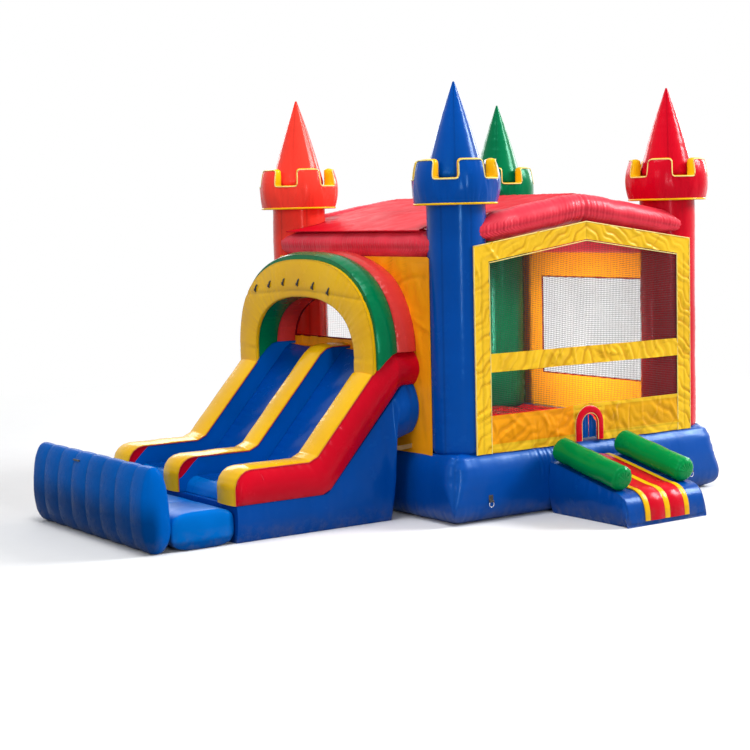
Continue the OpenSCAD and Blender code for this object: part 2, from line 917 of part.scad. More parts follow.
module deflation_zip() {
    color("black") translate([zip_x - zip_len / 2, half_w, zip_z - zip_w / 2])
        cube([zip_len, tab_t, zip_w]);
}

module zip_slider() {
    slider_t = 8;
    slider_w = 18;
    color("silver")
        translate([zip_x - zip_len / 2 + slider_len / 2, half_w + tab_t + seat, zip_z - slider_w / 2])
            cube([slider_len, slider_t, slider_w]);
}

// Puts an anchor at a corner of the base's front or back face, facing out.
module at_anchor(i) {
    translate([CORNERS[i][0] * anchor_x, CORNERS[i][1] * half_w, anchor_z])
        rotate(CORNERS[i][1] > 0 ? 180 : 0) children();
}

module anchor_tabs() {
    tab_w = 60;
    tab_up = 70;
    tab_down = 20;
    color("navy") for (i = [0:3]) at_anchor(i) difference() {
        union() {
            translate([-tab_w / 2, -tab_t, -tab_down]) cube([tab_w, tab_t, tab_up + tab_down]);
            translate([0, loop_y, 0]) rotate([0, 90, 0])
                cylinder(r = loop_r + loop_wall, h = loop_len, center = true);
        }
        translate([0, loop_y, 0]) rotate([0, 90, 0])
            cylinder(r = loop_r, h = loop_len + 2 * cut, center = true);
    }
}

module anchor_ring(i) {
    color("silver") at_anchor(i) translate([0, loop_y, -ring_r]) rotate([90, 0, 0])
        rotate_extrude() translate([ring_r, 0]) circle(wire_r);
}

base_tubes();
bounce_floor();
for (i = [0:3]) {
    column(i);
    crown(i);
    spire(i);
    anchor_ring(i);
}
end_beam(-1);  // beam_front
end_beam(1);  // beam_back
side_beam(-1);  // beam_left
side_beam(1);  // beam_right
roof_cover();
front_frame();
front_net();
front_strap();
front_lower_panel();
doorway_band();
door_flap(-1);  // door_flap_left
door_flap(1);  // door_flap_right
window_wall(90);  // right_wall
window_net(90);  // right_net
window_wall(180);  // back_wall
window_net(180);  // back_net
left_wall();
slide_toe();
slide_incline();
lane(lane_near_y);  // lane_near
lane(lane_far_y);  // lane_far
rail(near_y, rail_w, "crimson");  // rail_near
rail(middle_y, middle_rail_w, "royalblue");  // rail_middle
rail(far_y, rail_w, "crimson");  // rail_far
rail_caps();
arch_face();
arch_green();
arch_red();
arch_hose_ties();
landing_pad();
landing_bumper();
ramp_body();
ramp_tread();
ramp_bolsters();
tie_strap();
climb_wall();
climb_steps();
blower_sleeve();
deflation_zip();
zip_slider();
anchor_tabs();
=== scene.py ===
import math

import bpy
import numpy as np
from bpy.props import FloatProperty, FloatVectorProperty, IntProperty, PointerProperty
from mathutils import Matrix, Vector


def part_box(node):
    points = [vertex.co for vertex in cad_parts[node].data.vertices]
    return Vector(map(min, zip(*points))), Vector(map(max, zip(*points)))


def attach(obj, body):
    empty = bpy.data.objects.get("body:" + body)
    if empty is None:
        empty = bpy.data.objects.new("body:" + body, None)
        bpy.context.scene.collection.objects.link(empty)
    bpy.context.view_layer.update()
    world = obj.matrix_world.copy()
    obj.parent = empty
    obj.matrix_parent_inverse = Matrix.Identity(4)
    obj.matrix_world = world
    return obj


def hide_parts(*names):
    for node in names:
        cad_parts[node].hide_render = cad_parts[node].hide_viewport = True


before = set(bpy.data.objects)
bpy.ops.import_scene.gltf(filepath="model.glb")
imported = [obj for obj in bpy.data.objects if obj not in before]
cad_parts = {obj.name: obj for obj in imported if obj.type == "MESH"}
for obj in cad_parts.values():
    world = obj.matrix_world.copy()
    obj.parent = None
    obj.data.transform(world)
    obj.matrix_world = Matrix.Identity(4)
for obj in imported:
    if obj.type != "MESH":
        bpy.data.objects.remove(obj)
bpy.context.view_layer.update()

bl_info = {
    "name": "Inflatable bounce house",
    "version": (1, 0, 0),
    "blender": (4, 5, 0),
    "location": "View3D > Sidebar > Bounce house",
    "description": "Sews and blows up a castle bounce house with a two-lane slide",
    "category": "Object",
}

HOUSE = "house"
FAR = 9.0  # A distance that no seam reaches
SIDES = ("front", "right", "back", "left")


def box(node):
    """A node's lowest and highest corners as arrays."""
    low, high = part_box(node)
    return np.array(low), np.array(high)


# Sizes and colours that a user would change


def linear(*parts):
    """A display colour of 0 to 255 as the linear colour that a shader takes."""
    shares = [part / 255 for part in parts]
    return tuple(s / 12.92 if s <= 0.04045 else ((s + 0.055) / 1.055) ** 2.4 for s in shares)


def dye(name, description, *parts):
    """A colour setting, with its default given as a display colour."""
    return FloatVectorProperty(
        name=name, description=description, subtype="COLOR", size=3, min=0, max=1,
        default=linear(*parts),
    )


def length(name, description, default, top):
    """A length setting in metres."""
    return FloatProperty(
        name=name, description=description, default=default, min=0, max=top,
        unit="LENGTH", subtype="DISTANCE", precision=4,
    )


class HouseColours(bpy.types.PropertyGroup):
    """Colours of the vinyl, nets and webbing"""

    blue: dye("Blue", "Base, slide, ramp and one turret", 0, 70, 158)
    light_blue: dye("Light blue", "Landing pad and the lanes' feet", 0, 106, 196)
    # Painted light: a lighter copy of the blue, on the rails' blue flanks that lie in shade between the
    # rails and on the bumper's upper half
    lane_blue: dye("Lane blue", "Inner sides of the rails, and the bumper", 0, 92, 182)
    red: dye("Red", "Floor, roof, one turret and the treads", 210, 6, 33)
    orange_red: dye("Orange red", "One turret", 250, 62, 48)
    # Painted highlight: a lighter, pinker red than the roof's, standing in for the beams' broad
    # highlight
    beam_red: dye("Beam red", "Beams between the turrets", 230, 54, 72)
    barrel_red: dye("Barrel red", "Rear barrel of the slide's arch", 206, 56, 52)
    green: dye("Green", "Front barrel of the arch and one turret", 0, 114, 68)
    bolster_green: dye("Bolster green", "Bolsters beside the ramp", 0, 140, 66)
    yellow: dye("Yellow", "Front frame, strap and lower panel", 246, 194, 40)
    gold: dye("Gold", "Rail caps, arch face and crown tops", 255, 190, 16)
    deep_gold: dye("Deep gold", "Lower panel beside the doorway", 230, 166, 22)
    orange: dye("Orange", "Side and back walls", 255, 158, 18)
    # Painted shade: the colour painted into the hollows of the folds in yellow vinyl
    painted_fold_shade: dye("Ochre", "Valleys of the folds in yellow vinyl", 196, 132, 12)
    piping: dye("Piping", "Pale cord along the crowns, the front and the doorway", 255, 226, 128)
    net_dark: dye("Dark net", "Safety net at the front", 34, 30, 30)
    net_pale: dye("Pale net", "Window nets", 226, 228, 226)
    tan: dye("Tan webbing", "Strap between slide and house", 146, 118, 74)
    dark: dye("Dark webbing", "Ties, zip and anchor tabs", 32, 34, 40)
    floor: dye("Studio floor", "Floor under the house", 236, 236, 236)


class HouseSizes(bpy.types.PropertyGroup):
    """Depths of the sewing and the make of the nets"""

    seam_pinch: length("Seam pinch", "Depth of the valley along a seam", 0.008, 0.03)
    pucker: length("Pucker", "Height of the puckers beside a seam", 0.0055, 0.02)
    pucker_wave: length("Pucker wave", "Length of one pucker along its seam", 0.075, 0.3)
    pucker_reach: length("Pucker reach", "How far a pucker runs from its seam", 0.085, 0.4)
    fold: length("Fold", "Depth of the folds in a stretched panel", 0.016, 0.04)
    mesh_size: length("Mesh size", "Spacing of the points along an inflated piece", 0.019, 0.1)
    net_pitch: length("Front net pitch", "Spacing of the dark net's strands", 0.0225, 0.1)
    net_strand: length("Front net strand", "Thickness of the dark net's strands", 0.0057, 0.02)
    window_pitch: length("Window net pitch", "Spacing of the pale nets' strands", 0.028, 0.1)
    window_strand: length("Window net strand", "Thickness of the pale nets' strands", 0.0036, 0.02)
    piping: length("Piping", "Radius of the cord sewn along an edge", 0.007, 0.02)
    gores: IntProperty(
        name="Gores", description="Panels round each column and spire",
        default=6, min=3, max=16,
    )


def sizes():
    return bpy.context.scene.bounce_sizes


def colours():
    return bpy.context.scene.bounce_colours


# Sewing: rows of points, their seams, puckers and folds


def spots(*parts):
    """Points from their places along each axis, each an array or one number."""
    return np.stack(np.broadcast_arrays(*parts), -1)


def unit(v):
    return v / np.maximum(np.linalg.norm(v, axis=-1, keepdims=True), 1e-9)


def smooth(t):
    t = np.clip(t, 0, 1)
    return t * t * (3 - 2 * t)


def spaced(start, end, step):
    """Evenly spaced values from start to end, about a step apart."""
    return np.linspace(start, end, max(2, int(round(abs(end - start) / step)) + 1))


def resampled(points, step):
    """Points about a step apart along a line, with the line's own corners kept."""
    points = np.asarray(points, float)
    pieces = []
    for a, b in zip(points[:-1], points[1:]):
        count = max(1, int(round(np.linalg.norm(b - a) / step)))
        pieces.append(a + (b - a) * (np.arange(count) / count)[:, None])
    return np.vstack(pieces + [points[-1:]])


def softened(values, turns):
    """Values averaged with their neighbours along the first axis, ends kept."""
    values = np.array(values, float)
    for _ in range(turns):
        values[1:-1] = (values[:-2] + 2 * values[1:-1] + values[2:]) / 4
    return values


def run(points):
    """Length along a line of points, from its start."""
    steps = np.linalg.norm(np.diff(points, axis=0), axis=-1)
    return np.concatenate([np.zeros((1,) + steps.shape[1:]), np.cumsum(steps, 0)])


def meets(rows):
    """Whether each row ends where it starts."""
    return np.allclose(rows[:, 0], rows[:, -1])


def outward(rows):
    """Normals of a grid of points, turned away from its middle line."""
    along = np.gradient(rows, axis=0)
    across = np.empty_like(rows)
    across[:, 1:-1] = rows[:, 2:] - rows[:, :-2]
    if meets(rows):
        across[:, 0] = across[:, -1] = rows[:, 1] - rows[:, -2]
    else:
        across[:, 0] = rows[:, 1] - rows[:, 0]
        across[:, -1] = rows[:, -1] - rows[:, -2]
    normal = unit(np.cross(along, across))
    away = rows - rows.mean(axis=1, keepdims=True)
    return normal if (normal * away).sum() >= 0 else -normal


def pushed(rows, amount):
    """Rows moved out along their normals, with a closed row's two ends kept together."""
    amount = np.array(np.broadcast_to(amount, rows.shape[:2]), float)
    if meets(rows):
        reach = min(8, rows.shape[1] // 6)
        for k in range(1, reach):
            amount[:, -1 - k] += (amount[:, 0] - amount[:, -1]) * (1 - k / reach)
        amount[:, -1] = amount[:, 0]
    return rows + outward(rows) * amount[..., None]


def grounded(rows):
    """Rows kept above the ground."""
    rows[..., 2] = np.maximum(rows[..., 2], 0)
    return rows


def ripple(place, wave, seed):
    """A seeded uneven wave of about one unit."""
    rng = np.random.default_rng(seed)
    out = np.zeros_like(np.asarray(place, float))
    for stretch, share in ((1.0, 0.55), (0.62, 0.3), (1.71, 0.35)):
        out += share * np.sin(2 * np.pi * place / (wave * stretch) + rng.uniform(0, 2 * np.pi))
    return out * (0.75 + 0.35 * np.sin(place / (wave * 4.3) + rng.uniform(0, 2 * np.pi)))


def puckers(place, distance, seed, height=1.0, wave=1.0, reach=1.0):
    """Height of the puckers at a place along a seam and a distance from it."""
    make = sizes()
    fade = np.exp(-np.abs(distance) / (make.pucker_reach * reach))
    rise = 1 - np.exp(-((np.abs(distance) / 0.012) ** 2))
    return make.pucker * height * fade * rise * ripple(place, make.pucker_wave * wave, seed)


def valley(distance, depth=1.0, width=0.016):
    """Depth of the pinch along a seam."""
    return -sizes().seam_pinch * depth * np.exp(-((distance / width) ** 2))


def near_seam(distance, width=0.012):
    return np.exp(-((distance / width) ** 2))


def creases(u, v, seed, count, lean, width=0.03, reach=0.45):
    """Soft straight folds of about one unit, scattered over a panel at a few leanings."""
    rng = np.random.default_rng(seed)
    out = np.zeros_like(u)
    for _ in range(count):
        at_u = rng.uniform(u.min(), u.max())
        at_v = rng.uniform(v.min(), v.max())
        turn = math.radians(rng.choice(lean) + rng.uniform(-14, 14))
        along = (u - at_u) * math.cos(turn) + (v - at_v) * math.sin(turn)
        off = (v - at_v) * math.cos(turn) - (u - at_u) * math.sin(turn)
        off = off + 0.05 * np.sin(along * 5 + at_u * 7)
        wide = width * rng.uniform(0.6, 1.5)
        long = reach * rng.uniform(0.5, 1.3)
        out += rng.uniform(0.4, 1.0) * np.exp(-((off / wide) ** 2) - (along / long) ** 2)
    return out


def panels(corners, bulges, counts):
    """Closed rows through seam corners, with each panel between two corners bulging out.

    Gives the points, their distance from the nearest seam and each column's panel."""
    corners = np.asarray(corners, float)
    middle = corners.mean(axis=1)
    columns, seams, sides = [], [], []
    for side, count in enumerate(counts):
        a, b = corners[:, side], corners[:, (side + 1) % len(counts)]
        along = b - a
        out = (a + b) / 2 - middle
        out = unit(out - unit(along) * (out * unit(along)).sum(-1, keepdims=True))
        bulge = np.broadcast_to(np.asarray(bulges[side], float), len(corners))
        for k in range(count):
            t = k / count
            t = 0.5 - 0.5 * math.cos(math.pi * t) * (0.55 + 0.45 * abs(2 * t - 1))
            columns.append(a + along * t + out * (bulge * 4 * t * (1 - t))[:, None])
            seams.append(np.linalg.norm(along, axis=-1) * min(t, 1 - t))
            sides.append(side)
    for line in (columns, seams, sides):
        line.append(line[0])
    return np.stack(columns, 1), np.stack(seams, 1), np.array(sides)


def rounded(count, power):
    """A closed rounded square of points within -1 to 1, from its right side anticlockwise."""
    turn = np.linspace(0, 2 * np.pi, count + 1)
    c, s = np.cos(turn), np.sin(turn)
    return (np.sign(c) * np.abs(c) ** (2 / power), np.sign(s) * np.abs(s) ** (2 / power))


def end_rings(ring, next_ring, bulge, count, power=2.0):
    """Rings that close the end of a tube, drawn in to its middle and bulging out."""
    middle = ring.mean(axis=0)
    out = unit(middle - next_ring.mean(axis=0))
    rings = []
    for k in range(1, count + 1):
        turn = k / count * math.pi / 2
        keep = math.cos(turn) ** (2 / power)
        rings.append(middle + (ring - middle) * keep + out * bulge * math.sin(turn) ** (2 / power))
    rings[-1][:] = middle + out * bulge
    return rings


def closed(rows, fields, bulge, count=7, power=2.6):
    """Rows closed at both ends, with each field carried on over the ends."""
    bulges = bulge if isinstance(bulge, tuple) else (bulge, bulge)
    first = end_rings(rows[0], rows[1], bulges[0], count, power)
    last = end_rings(rows[-1], rows[-2], bulges[1], count, power)
    out = np.concatenate([np.array(first[::-1]), rows, np.array(last)])
    carried = [
        np.concatenate([np.repeat(f[:1], count, 0), f, np.repeat(f[-1:], count, 0)]) for f in fields
    ]
    return out, carried


def wrapped(upper, under):
    """Columns of a sheet's upper side carried on round its under side, back to the start."""
    return np.concatenate([upper, under[:, ::-1], upper[:, :1]], 1)


def ended(field):
    """A field with its first and last rows repeated."""
    return np.concatenate([field[:1], field, field[-1:]])


def two_skins(upper, under):
    """Closed rows of a thin sheet, with both ends drawn to the middle between its sides."""
    ends = wrapped(*[(upper + under) / 2] * 2)
    return np.concatenate([ends[:1], wrapped(upper, under), ends[-1:]])


def sewn(name, rows, seam=None, fold=None, parts=None, angle=50):
    """A piece from rows of points: a flat grid whose points are moved there and welded."""
    rows = np.asarray(rows, float)
    n, m = rows.shape[:2]
    bpy.ops.object.select_all(action="DESELECT")
    bpy.ops.mesh.primitive_grid_add(x_subdivisions=m - 1, y_subdivisions=n - 1, size=2)
    piece = bpy.context.object
    piece.name = piece.data.name = name
    mesh = piece.data
    flat = np.empty(len(mesh.vertices) * 3)
    mesh.vertices.foreach_get("co", flat)
    flat = flat.reshape(-1, 3)
    column = np.rint((flat[:, 0] + 1) / 2 * (m - 1)).astype(int)
    row = np.rint((flat[:, 1] + 1) / 2 * (n - 1)).astype(int)
    # The fold field tells the finish where to paint shade
    for key, field in (("seam", seam), ("fold", fold)):
        if field is not None:
            layer = mesh.attributes.new(key, "FLOAT", "POINT")
            layer.data.foreach_set("value", np.asarray(field, float)[row, column])
    if parts is not None:
        at = np.empty(len(mesh.loops), int)
        mesh.loops.foreach_get("vertex_index", at)
        at = at.reshape(-1, 4)
        parts = np.asarray(parts)
        index = parts[row[at].min(1), column[at].min(1)].astype(np.int32)
        mesh.polygons.foreach_set("material_index", index)
    mesh.vertices.foreach_set("co", rows[row, column].ravel())
    mesh.update()
    bpy.ops.object.mode_set(mode="EDIT")
    bpy.ops.mesh.select_all(action="SELECT")
    bpy.ops.mesh.remove_doubles(threshold=0.00015)
    bpy.ops.mesh.normals_make_consistent(inside=False)
    bpy.ops.object.mode_set(mode="OBJECT")
    bpy.ops.object.shade_smooth_by_angle(angle=math.radians(angle))
    return piece


def corded(name, line, radius, looped=False, around=8):
    """A round cord sewn along a line of points."""
    line = np.asarray(line, float)
    if looped:
        along = np.roll(line[:-1], -1, 0) - np.roll(line[:-1], 1, 0)
        along = np.vstack([along, along[:1]])
    else:
        along = np.gradient(line, axis=0)
    along = unit(along)
    side = unit(np.cross(along, np.where(np.abs(along[:, 2:]) > 0.95, (1.0, 0, 0), (0, 0, 1.0))))
    up = np.cross(side, along)
    turn = np.linspace(0, 2 * np.pi, around + 1)
    round_it = side[:, None] * np.cos(turn)[:, None] + up[:, None] * np.sin(turn)[:, None]
    rows = line[:, None] + radius * round_it
    if not looped:
        first, last = np.repeat(line[[0, -1], None], around + 1, 1)
        rows = np.concatenate([first[None], rows, last[None]])
    return sewn(name, rows, angle=80)


def placed(piece, nodes, slot, *finishes, body=HOUSE, fill=None):
    """Puts finishes on a piece, lets it stand for its nodes and ride on its body."""
    for finish in finishes:
        piece.data.materials.append(FINISHES[finish]())
    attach(piece, body)
    if nodes:
        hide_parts(*nodes)
    return piece


def joined(name, pieces):
    """One piece made of several."""
    bpy.ops.object.select_all(action="DESELECT")
    for piece in pieces:
        piece.select_set(True)
    bpy.context.view_layer.objects.active = pieces[0]
    bpy.ops.object.join()
    pieces[0].name = pieces[0].data.name = name
    return pieces[0]


# Finishes


class Wiring:
    """Nodes of one material, added and joined in a few words."""

    def __init__(self, name):
        self.material = bpy.data.materials.new(name)
        self.material.use_nodes = True
        self.tree = self.material.node_tree
        self.shader = self.tree.nodes["Principled BSDF"]
        self.place = self.add("ShaderNodeTexCoord").outputs["Object"]

    def feed(self, socket, value):
        """Joins a socket to an output, or sets its value."""
        if isinstance(value, bpy.types.NodeSocket):
            self.tree.links.new(value, socket)
        else:
            socket.default_value = value

    def add(self, kind, feeds=None, **settings):
        node = self.tree.nodes.new(kind)
        for key, value in settings.items():
            setattr(node, key, value)
        for key, value in (feeds or {}).items():
            self.feed(node.inputs[key], value)
        return node

    def noise(self, scale, detail=3.0, rough=0.55, stretch=None):
        place = self.place
        if stretch:
            place = self.add("ShaderNodeMapping", {"Scale": stretch, "Vector": place}).outputs["Vector"]
        feeds = {"Scale": scale, "Detail": detail, "Roughness": rough, "Vector": place}
        return self.add("ShaderNodeTexNoise", feeds).outputs["Fac"]

    def ranged(self, source, low, high, to_low, to_high):
        feeds = dict(enumerate((source, low, high, to_low, to_high)))
        return self.add("ShaderNodeMapRange", feeds).outputs[0]

    def maths(self, kind, a, b):
        return self.add("ShaderNodeMath", {0: a, 1: b}, operation=kind).outputs[0]

    def mixed(self, share, a, b):
        a, b = ((*value, 1) if isinstance(value, tuple) else value for value in (a, b))
        return self.add("ShaderNodeMix", {0: share, 6: a, 7: b}, data_type="RGBA").outputs[2]

    def field(self, name):
        return self.add("ShaderNodeAttribute", attribute_name=name).outputs["Fac"]

    def bumped(self, height, strength, distance, under=None):
        feeds = {"Strength": strength, "Distance": distance, "Height": height}
        if under is not None:
            feeds["Normal"] = under
        return self.add("ShaderNodeBump", feeds).outputs["Normal"]

    def made(self, **feeds):
        """The material, with its shader's sockets fed."""
        for key, value in feeds.items():
            self.feed(self.shader.inputs[key.replace("_", " ")], value)
        return self.material


def shaded(colour, share):
    return tuple(min(1.0, part * share) for part in colour)


def vinyl(name, colour, fold_colour=None, gloss=0.2, crinkle=0.4, shine=1.0):
    """Coated vinyl: mottled colour, darker seams, painted shade wherever its fold field marks it,
    scuffs near the ground, a soft crinkle and a fine weave under the gloss."""
    w = Wiring(name)
    blotch = w.ranged(w.noise(0.8, 4), 0.3, 0.7, 0, 1)
    base = w.mixed(blotch, shaded(colour, 0.84), shaded(colour, 1.12))
    # Painted shade: the colour is darkened towards the painted shade colour where the fold field is
    # high
    dark = w.ranged(w.field("fold"), 0.1, 0.9, 0, 0.6)
    base = w.mixed(dark, base, fold_colour or shaded(colour, 0.5))
    base = w.mixed(w.ranged(w.field("seam"), 0, 1, 0, 0.5), base, shaded(colour, 0.45))
    height = w.add("ShaderNodeSeparateXYZ", {0: w.place}).outputs["Z"]
    low = w.ranged(height, 0.0, 0.22, 0.42, 0.0)
    scuff = w.maths("MULTIPLY", low, w.ranged(w.noise(7, 6, 0.7), 0.42, 0.7, 0, 1))
    patch = w.ranged(w.noise(5.0, 4), 0.3, 0.7, gloss - 0.06, gloss + 0.1)
    weave = w.bumped(w.noise(420, 1), 0.05, 0.0008)
    soft = w.bumped(w.noise(11, 3, 0.45), crinkle * 0.5, 0.012, weave)
    brightest = max(colour)
    tint = (0.12 + 0.88 * math.sqrt(part / brightest) for part in colour)
    return w.made(
        Base_Color=w.mixed(scuff, base, (0.16, 0.14, 0.11)),
        Roughness=w.maths("ADD", patch, w.maths("MULTIPLY", scuff, 0.4)),
        Normal=w.bumped(w.noise(38, 2, 0.5), crinkle * 0.22, 0.004, soft),
        Coat_Weight=0.045 * shine, Coat_Roughness=0.08,
        Specular_IOR_Level=0.2 * shine, Specular_Tint=(*tint, 1))


def cordage(name, colour, rough=0.65):
    """Woven net, piping and webbing: a fine twill, uneven colour and little gloss."""
    w = Wiring(name)
    threads = {"Scale": 140, "Distortion": 1.5, "Vector": w.place}
    twill = w.add("ShaderNodeTexWave", threads, bands_direction="DIAGONAL").outputs["Fac"]
    blotch = w.ranged(w.noise(6, 4), 0.3, 0.7, 0, 1)
    base = w.mixed(blotch, shaded(colour, 0.8), shaded(colour, 1.12))
    return w.made(
        Base_Color=w.mixed(w.ranged(twill, 0, 1, 0, 0.3), base, shaded(colour, 0.55)),
        Roughness=w.ranged(w.noise(30, 3), 0.3, 0.7, rough - 0.1, rough + 0.12),
        Normal=w.bumped(twill, 0.3, 0.001), Sheen_Weight=0.15)


def steel(name):
    """Welded wire with fine scratches and duller blotches."""
    w = Wiring(name)
    blotch = w.ranged(w.noise(30, 5), 0.35, 0.65, 0, 1)
    return w.made(
        Base_Color=w.mixed(blotch, (0.5, 0.5, 0.52), (0.68, 0.68, 0.7)),
        Roughness=w.ranged(w.noise(90, 4), 0.3, 0.7, 0.22, 0.45),
        Normal=w.bumped(w.noise(300, 2, stretch=(1, 1, 8)), 0.12, 0.0005), Metallic=1.0)


def plainly_seen(tree):
    """Share of the rays that see the plain background: the camera's, mirrored and passed ones."""
    path = tree.nodes.new("ShaderNodeLightPath")
    seen = path.outputs["Is Camera Ray"]
    for ray in ("Is Glossy Ray", "Is Transmission Ray"):
        either = tree.nodes.new("ShaderNodeMath")
        either.operation = "MAXIMUM"
        tree.links.new(seen, either.inputs[0])
        tree.links.new(path.outputs[ray], either.inputs[1])
        seen = either.outputs[0]
    return seen


def studio_floor():
    """Pale floor that keeps the shadow near the house and is plain white far from it."""
    w = Wiring("studio_floor")
    pale = tuple(colours().floor)
    grain = w.ranged(w.noise(3, 4), 0.3, 0.7, 0, 1)
    grain = w.mixed(grain, shaded(pale, 0.985), shaded(pale, 1.0))
    seen = plainly_seen(w.tree)
    away = w.add("ShaderNodeVectorMath", {0: w.place, 1: (-1.5, 0, 0)}, operation="DISTANCE")
    far = w.ranged(away.outputs["Value"], 7.5, 15, 0, 1)
    white = w.add("ShaderNodeEmission").outputs[0]
    mix = w.add("ShaderNodeMixShader",
                {0: w.maths("MULTIPLY", far, seen), 1: w.shader.outputs[0], 2: white})
    w.feed(w.tree.nodes["Material Output"].inputs["Surface"], mix.outputs[0])
    return w.made(Base_Color=w.mixed(seen, shaded(pale, 0.4), grain), Roughness=0.9,
                  Specular_IOR_Level=0.1)


def once(name, make):
    """A finish that is made when it is first used."""
    def finish():
        return bpy.data.materials.get(name) or make(name)
    return finish


def dyed(make, name, dye_name, shade=1.0, valleys=None, **settings):
    """A finish in one of the set colours, with the colour and share of its painted shade, which darkens
    fold hollows and dark bands.
    """
    def fresh(name):
        if valleys:
            settings["fold_colour"] = shaded(getattr(colours(), valleys[0]), valleys[1])
        return make(name, shaded(getattr(colours(), dye_name), shade), **settings)
    return once(name, fresh)


# Painted shade for the hollows of folds in the yellow and gold finishes
YELLOW_FOLD_SHADE = {"valleys": ("painted_fold_shade", 1.0)}
STRETCHED = {"gloss": 0.34, "crinkle": 0.7}
FINISHES = {
    **{name: dyed(vinyl, f"{name}_vinyl", name)
       for name in ("blue", "red", "orange_red", "barrel_red", "green")},
    # Painted shade: the pad's bottom band darkens towards blue
    "light_blue": dyed(vinyl, "light_blue_vinyl", "light_blue", valleys=("blue", 0.6),
                       gloss=0.32, shine=0.25),
    # Painted light: the rails' blue flanks in a lighter blue
    "lane_blue": dyed(vinyl, "lane_vinyl", "lane_blue", shine=0.6),
    # Painted light and shade: the bumper is lighter blue above and darkens to a deep blue on its lower
    # half
    "bumper_blue": dyed(vinyl, "bumper_vinyl", "lane_blue", valleys=("blue", 0.15),
                        gloss=0.26, shine=0.1),
    "bolster_green": dyed(vinyl, "bolster_vinyl", "bolster_green"),
    "base_blue": dyed(vinyl, "base_vinyl", "blue", gloss=0.34, crinkle=0.25, shine=1.7),
    # Painted highlight: the beams' lighter, pinker red
    "beam_red": dyed(vinyl, "beam_vinyl", "beam_red", gloss=0.4, shine=1.3),
    "roof_red": dyed(vinyl, "roof_vinyl", "red", gloss=0.5, shine=0.4),
    "dark_red": dyed(vinyl, "dark_red_vinyl", "red", 0.3),
    "gold": dyed(vinyl, "gold_vinyl", "gold", **YELLOW_FOLD_SHADE),
    "yellow": dyed(vinyl, "yellow_vinyl", "yellow", **YELLOW_FOLD_SHADE, **STRETCHED),
    "deep_gold": dyed(vinyl, "deep_gold_vinyl", "deep_gold", **YELLOW_FOLD_SHADE, **STRETCHED),
    # Painted shade: the walls' fold hollows darken to a deeper orange
    "orange": dyed(vinyl, "orange_vinyl", "orange", valleys=("orange", 0.62), gloss=0.36, crinkle=0.5),
    "piping": dyed(cordage, "pale_piping", "piping", rough=0.45),
    "red_piping": dyed(cordage, "red_piping", "red", rough=0.45),
    "net_dark": dyed(cordage, "dark_net", "net_dark"),
    "net_pale": dyed(cordage, "pale_net", "net_pale"),
    "tan": dyed(cordage, "tan_webbing", "tan"),
    "dark": dyed(cordage, "dark_webbing", "dark"),
    "steel": once("welded_steel", steel),
}


# The house


def turned(rows, quarter):
    """Rows turned about the upright axis by quarter turns."""
    c, s = math.cos(quarter * math.pi / 2), math.sin(quarter * math.pi / 2)
    out = rows.copy()
    out[..., 0] = c * rows[..., 0] - s * rows[..., 1]
    out[..., 1] = s * rows[..., 0] + c * rows[..., 1]
    return out


def calm(x, fittings):
    """Share of the swelling kept along a tube, none of it behind its fittings."""
    share = np.ones_like(x)
    for low, high in fittings:
        past = np.maximum(low[0] - x, x - high[0])
        share = share * smooth((past - 0.02) / 0.14)
    return share


# What is sewn on the base tubes and keeps them from swelling there
BASE_FITTINGS = {
    "front": ("anchor_ring_front_left", "anchor_ring_front_right"),
    "back": ("anchor_ring_back_left", "anchor_ring_back_right", "deflation_zip", "blower_sleeve"),
}


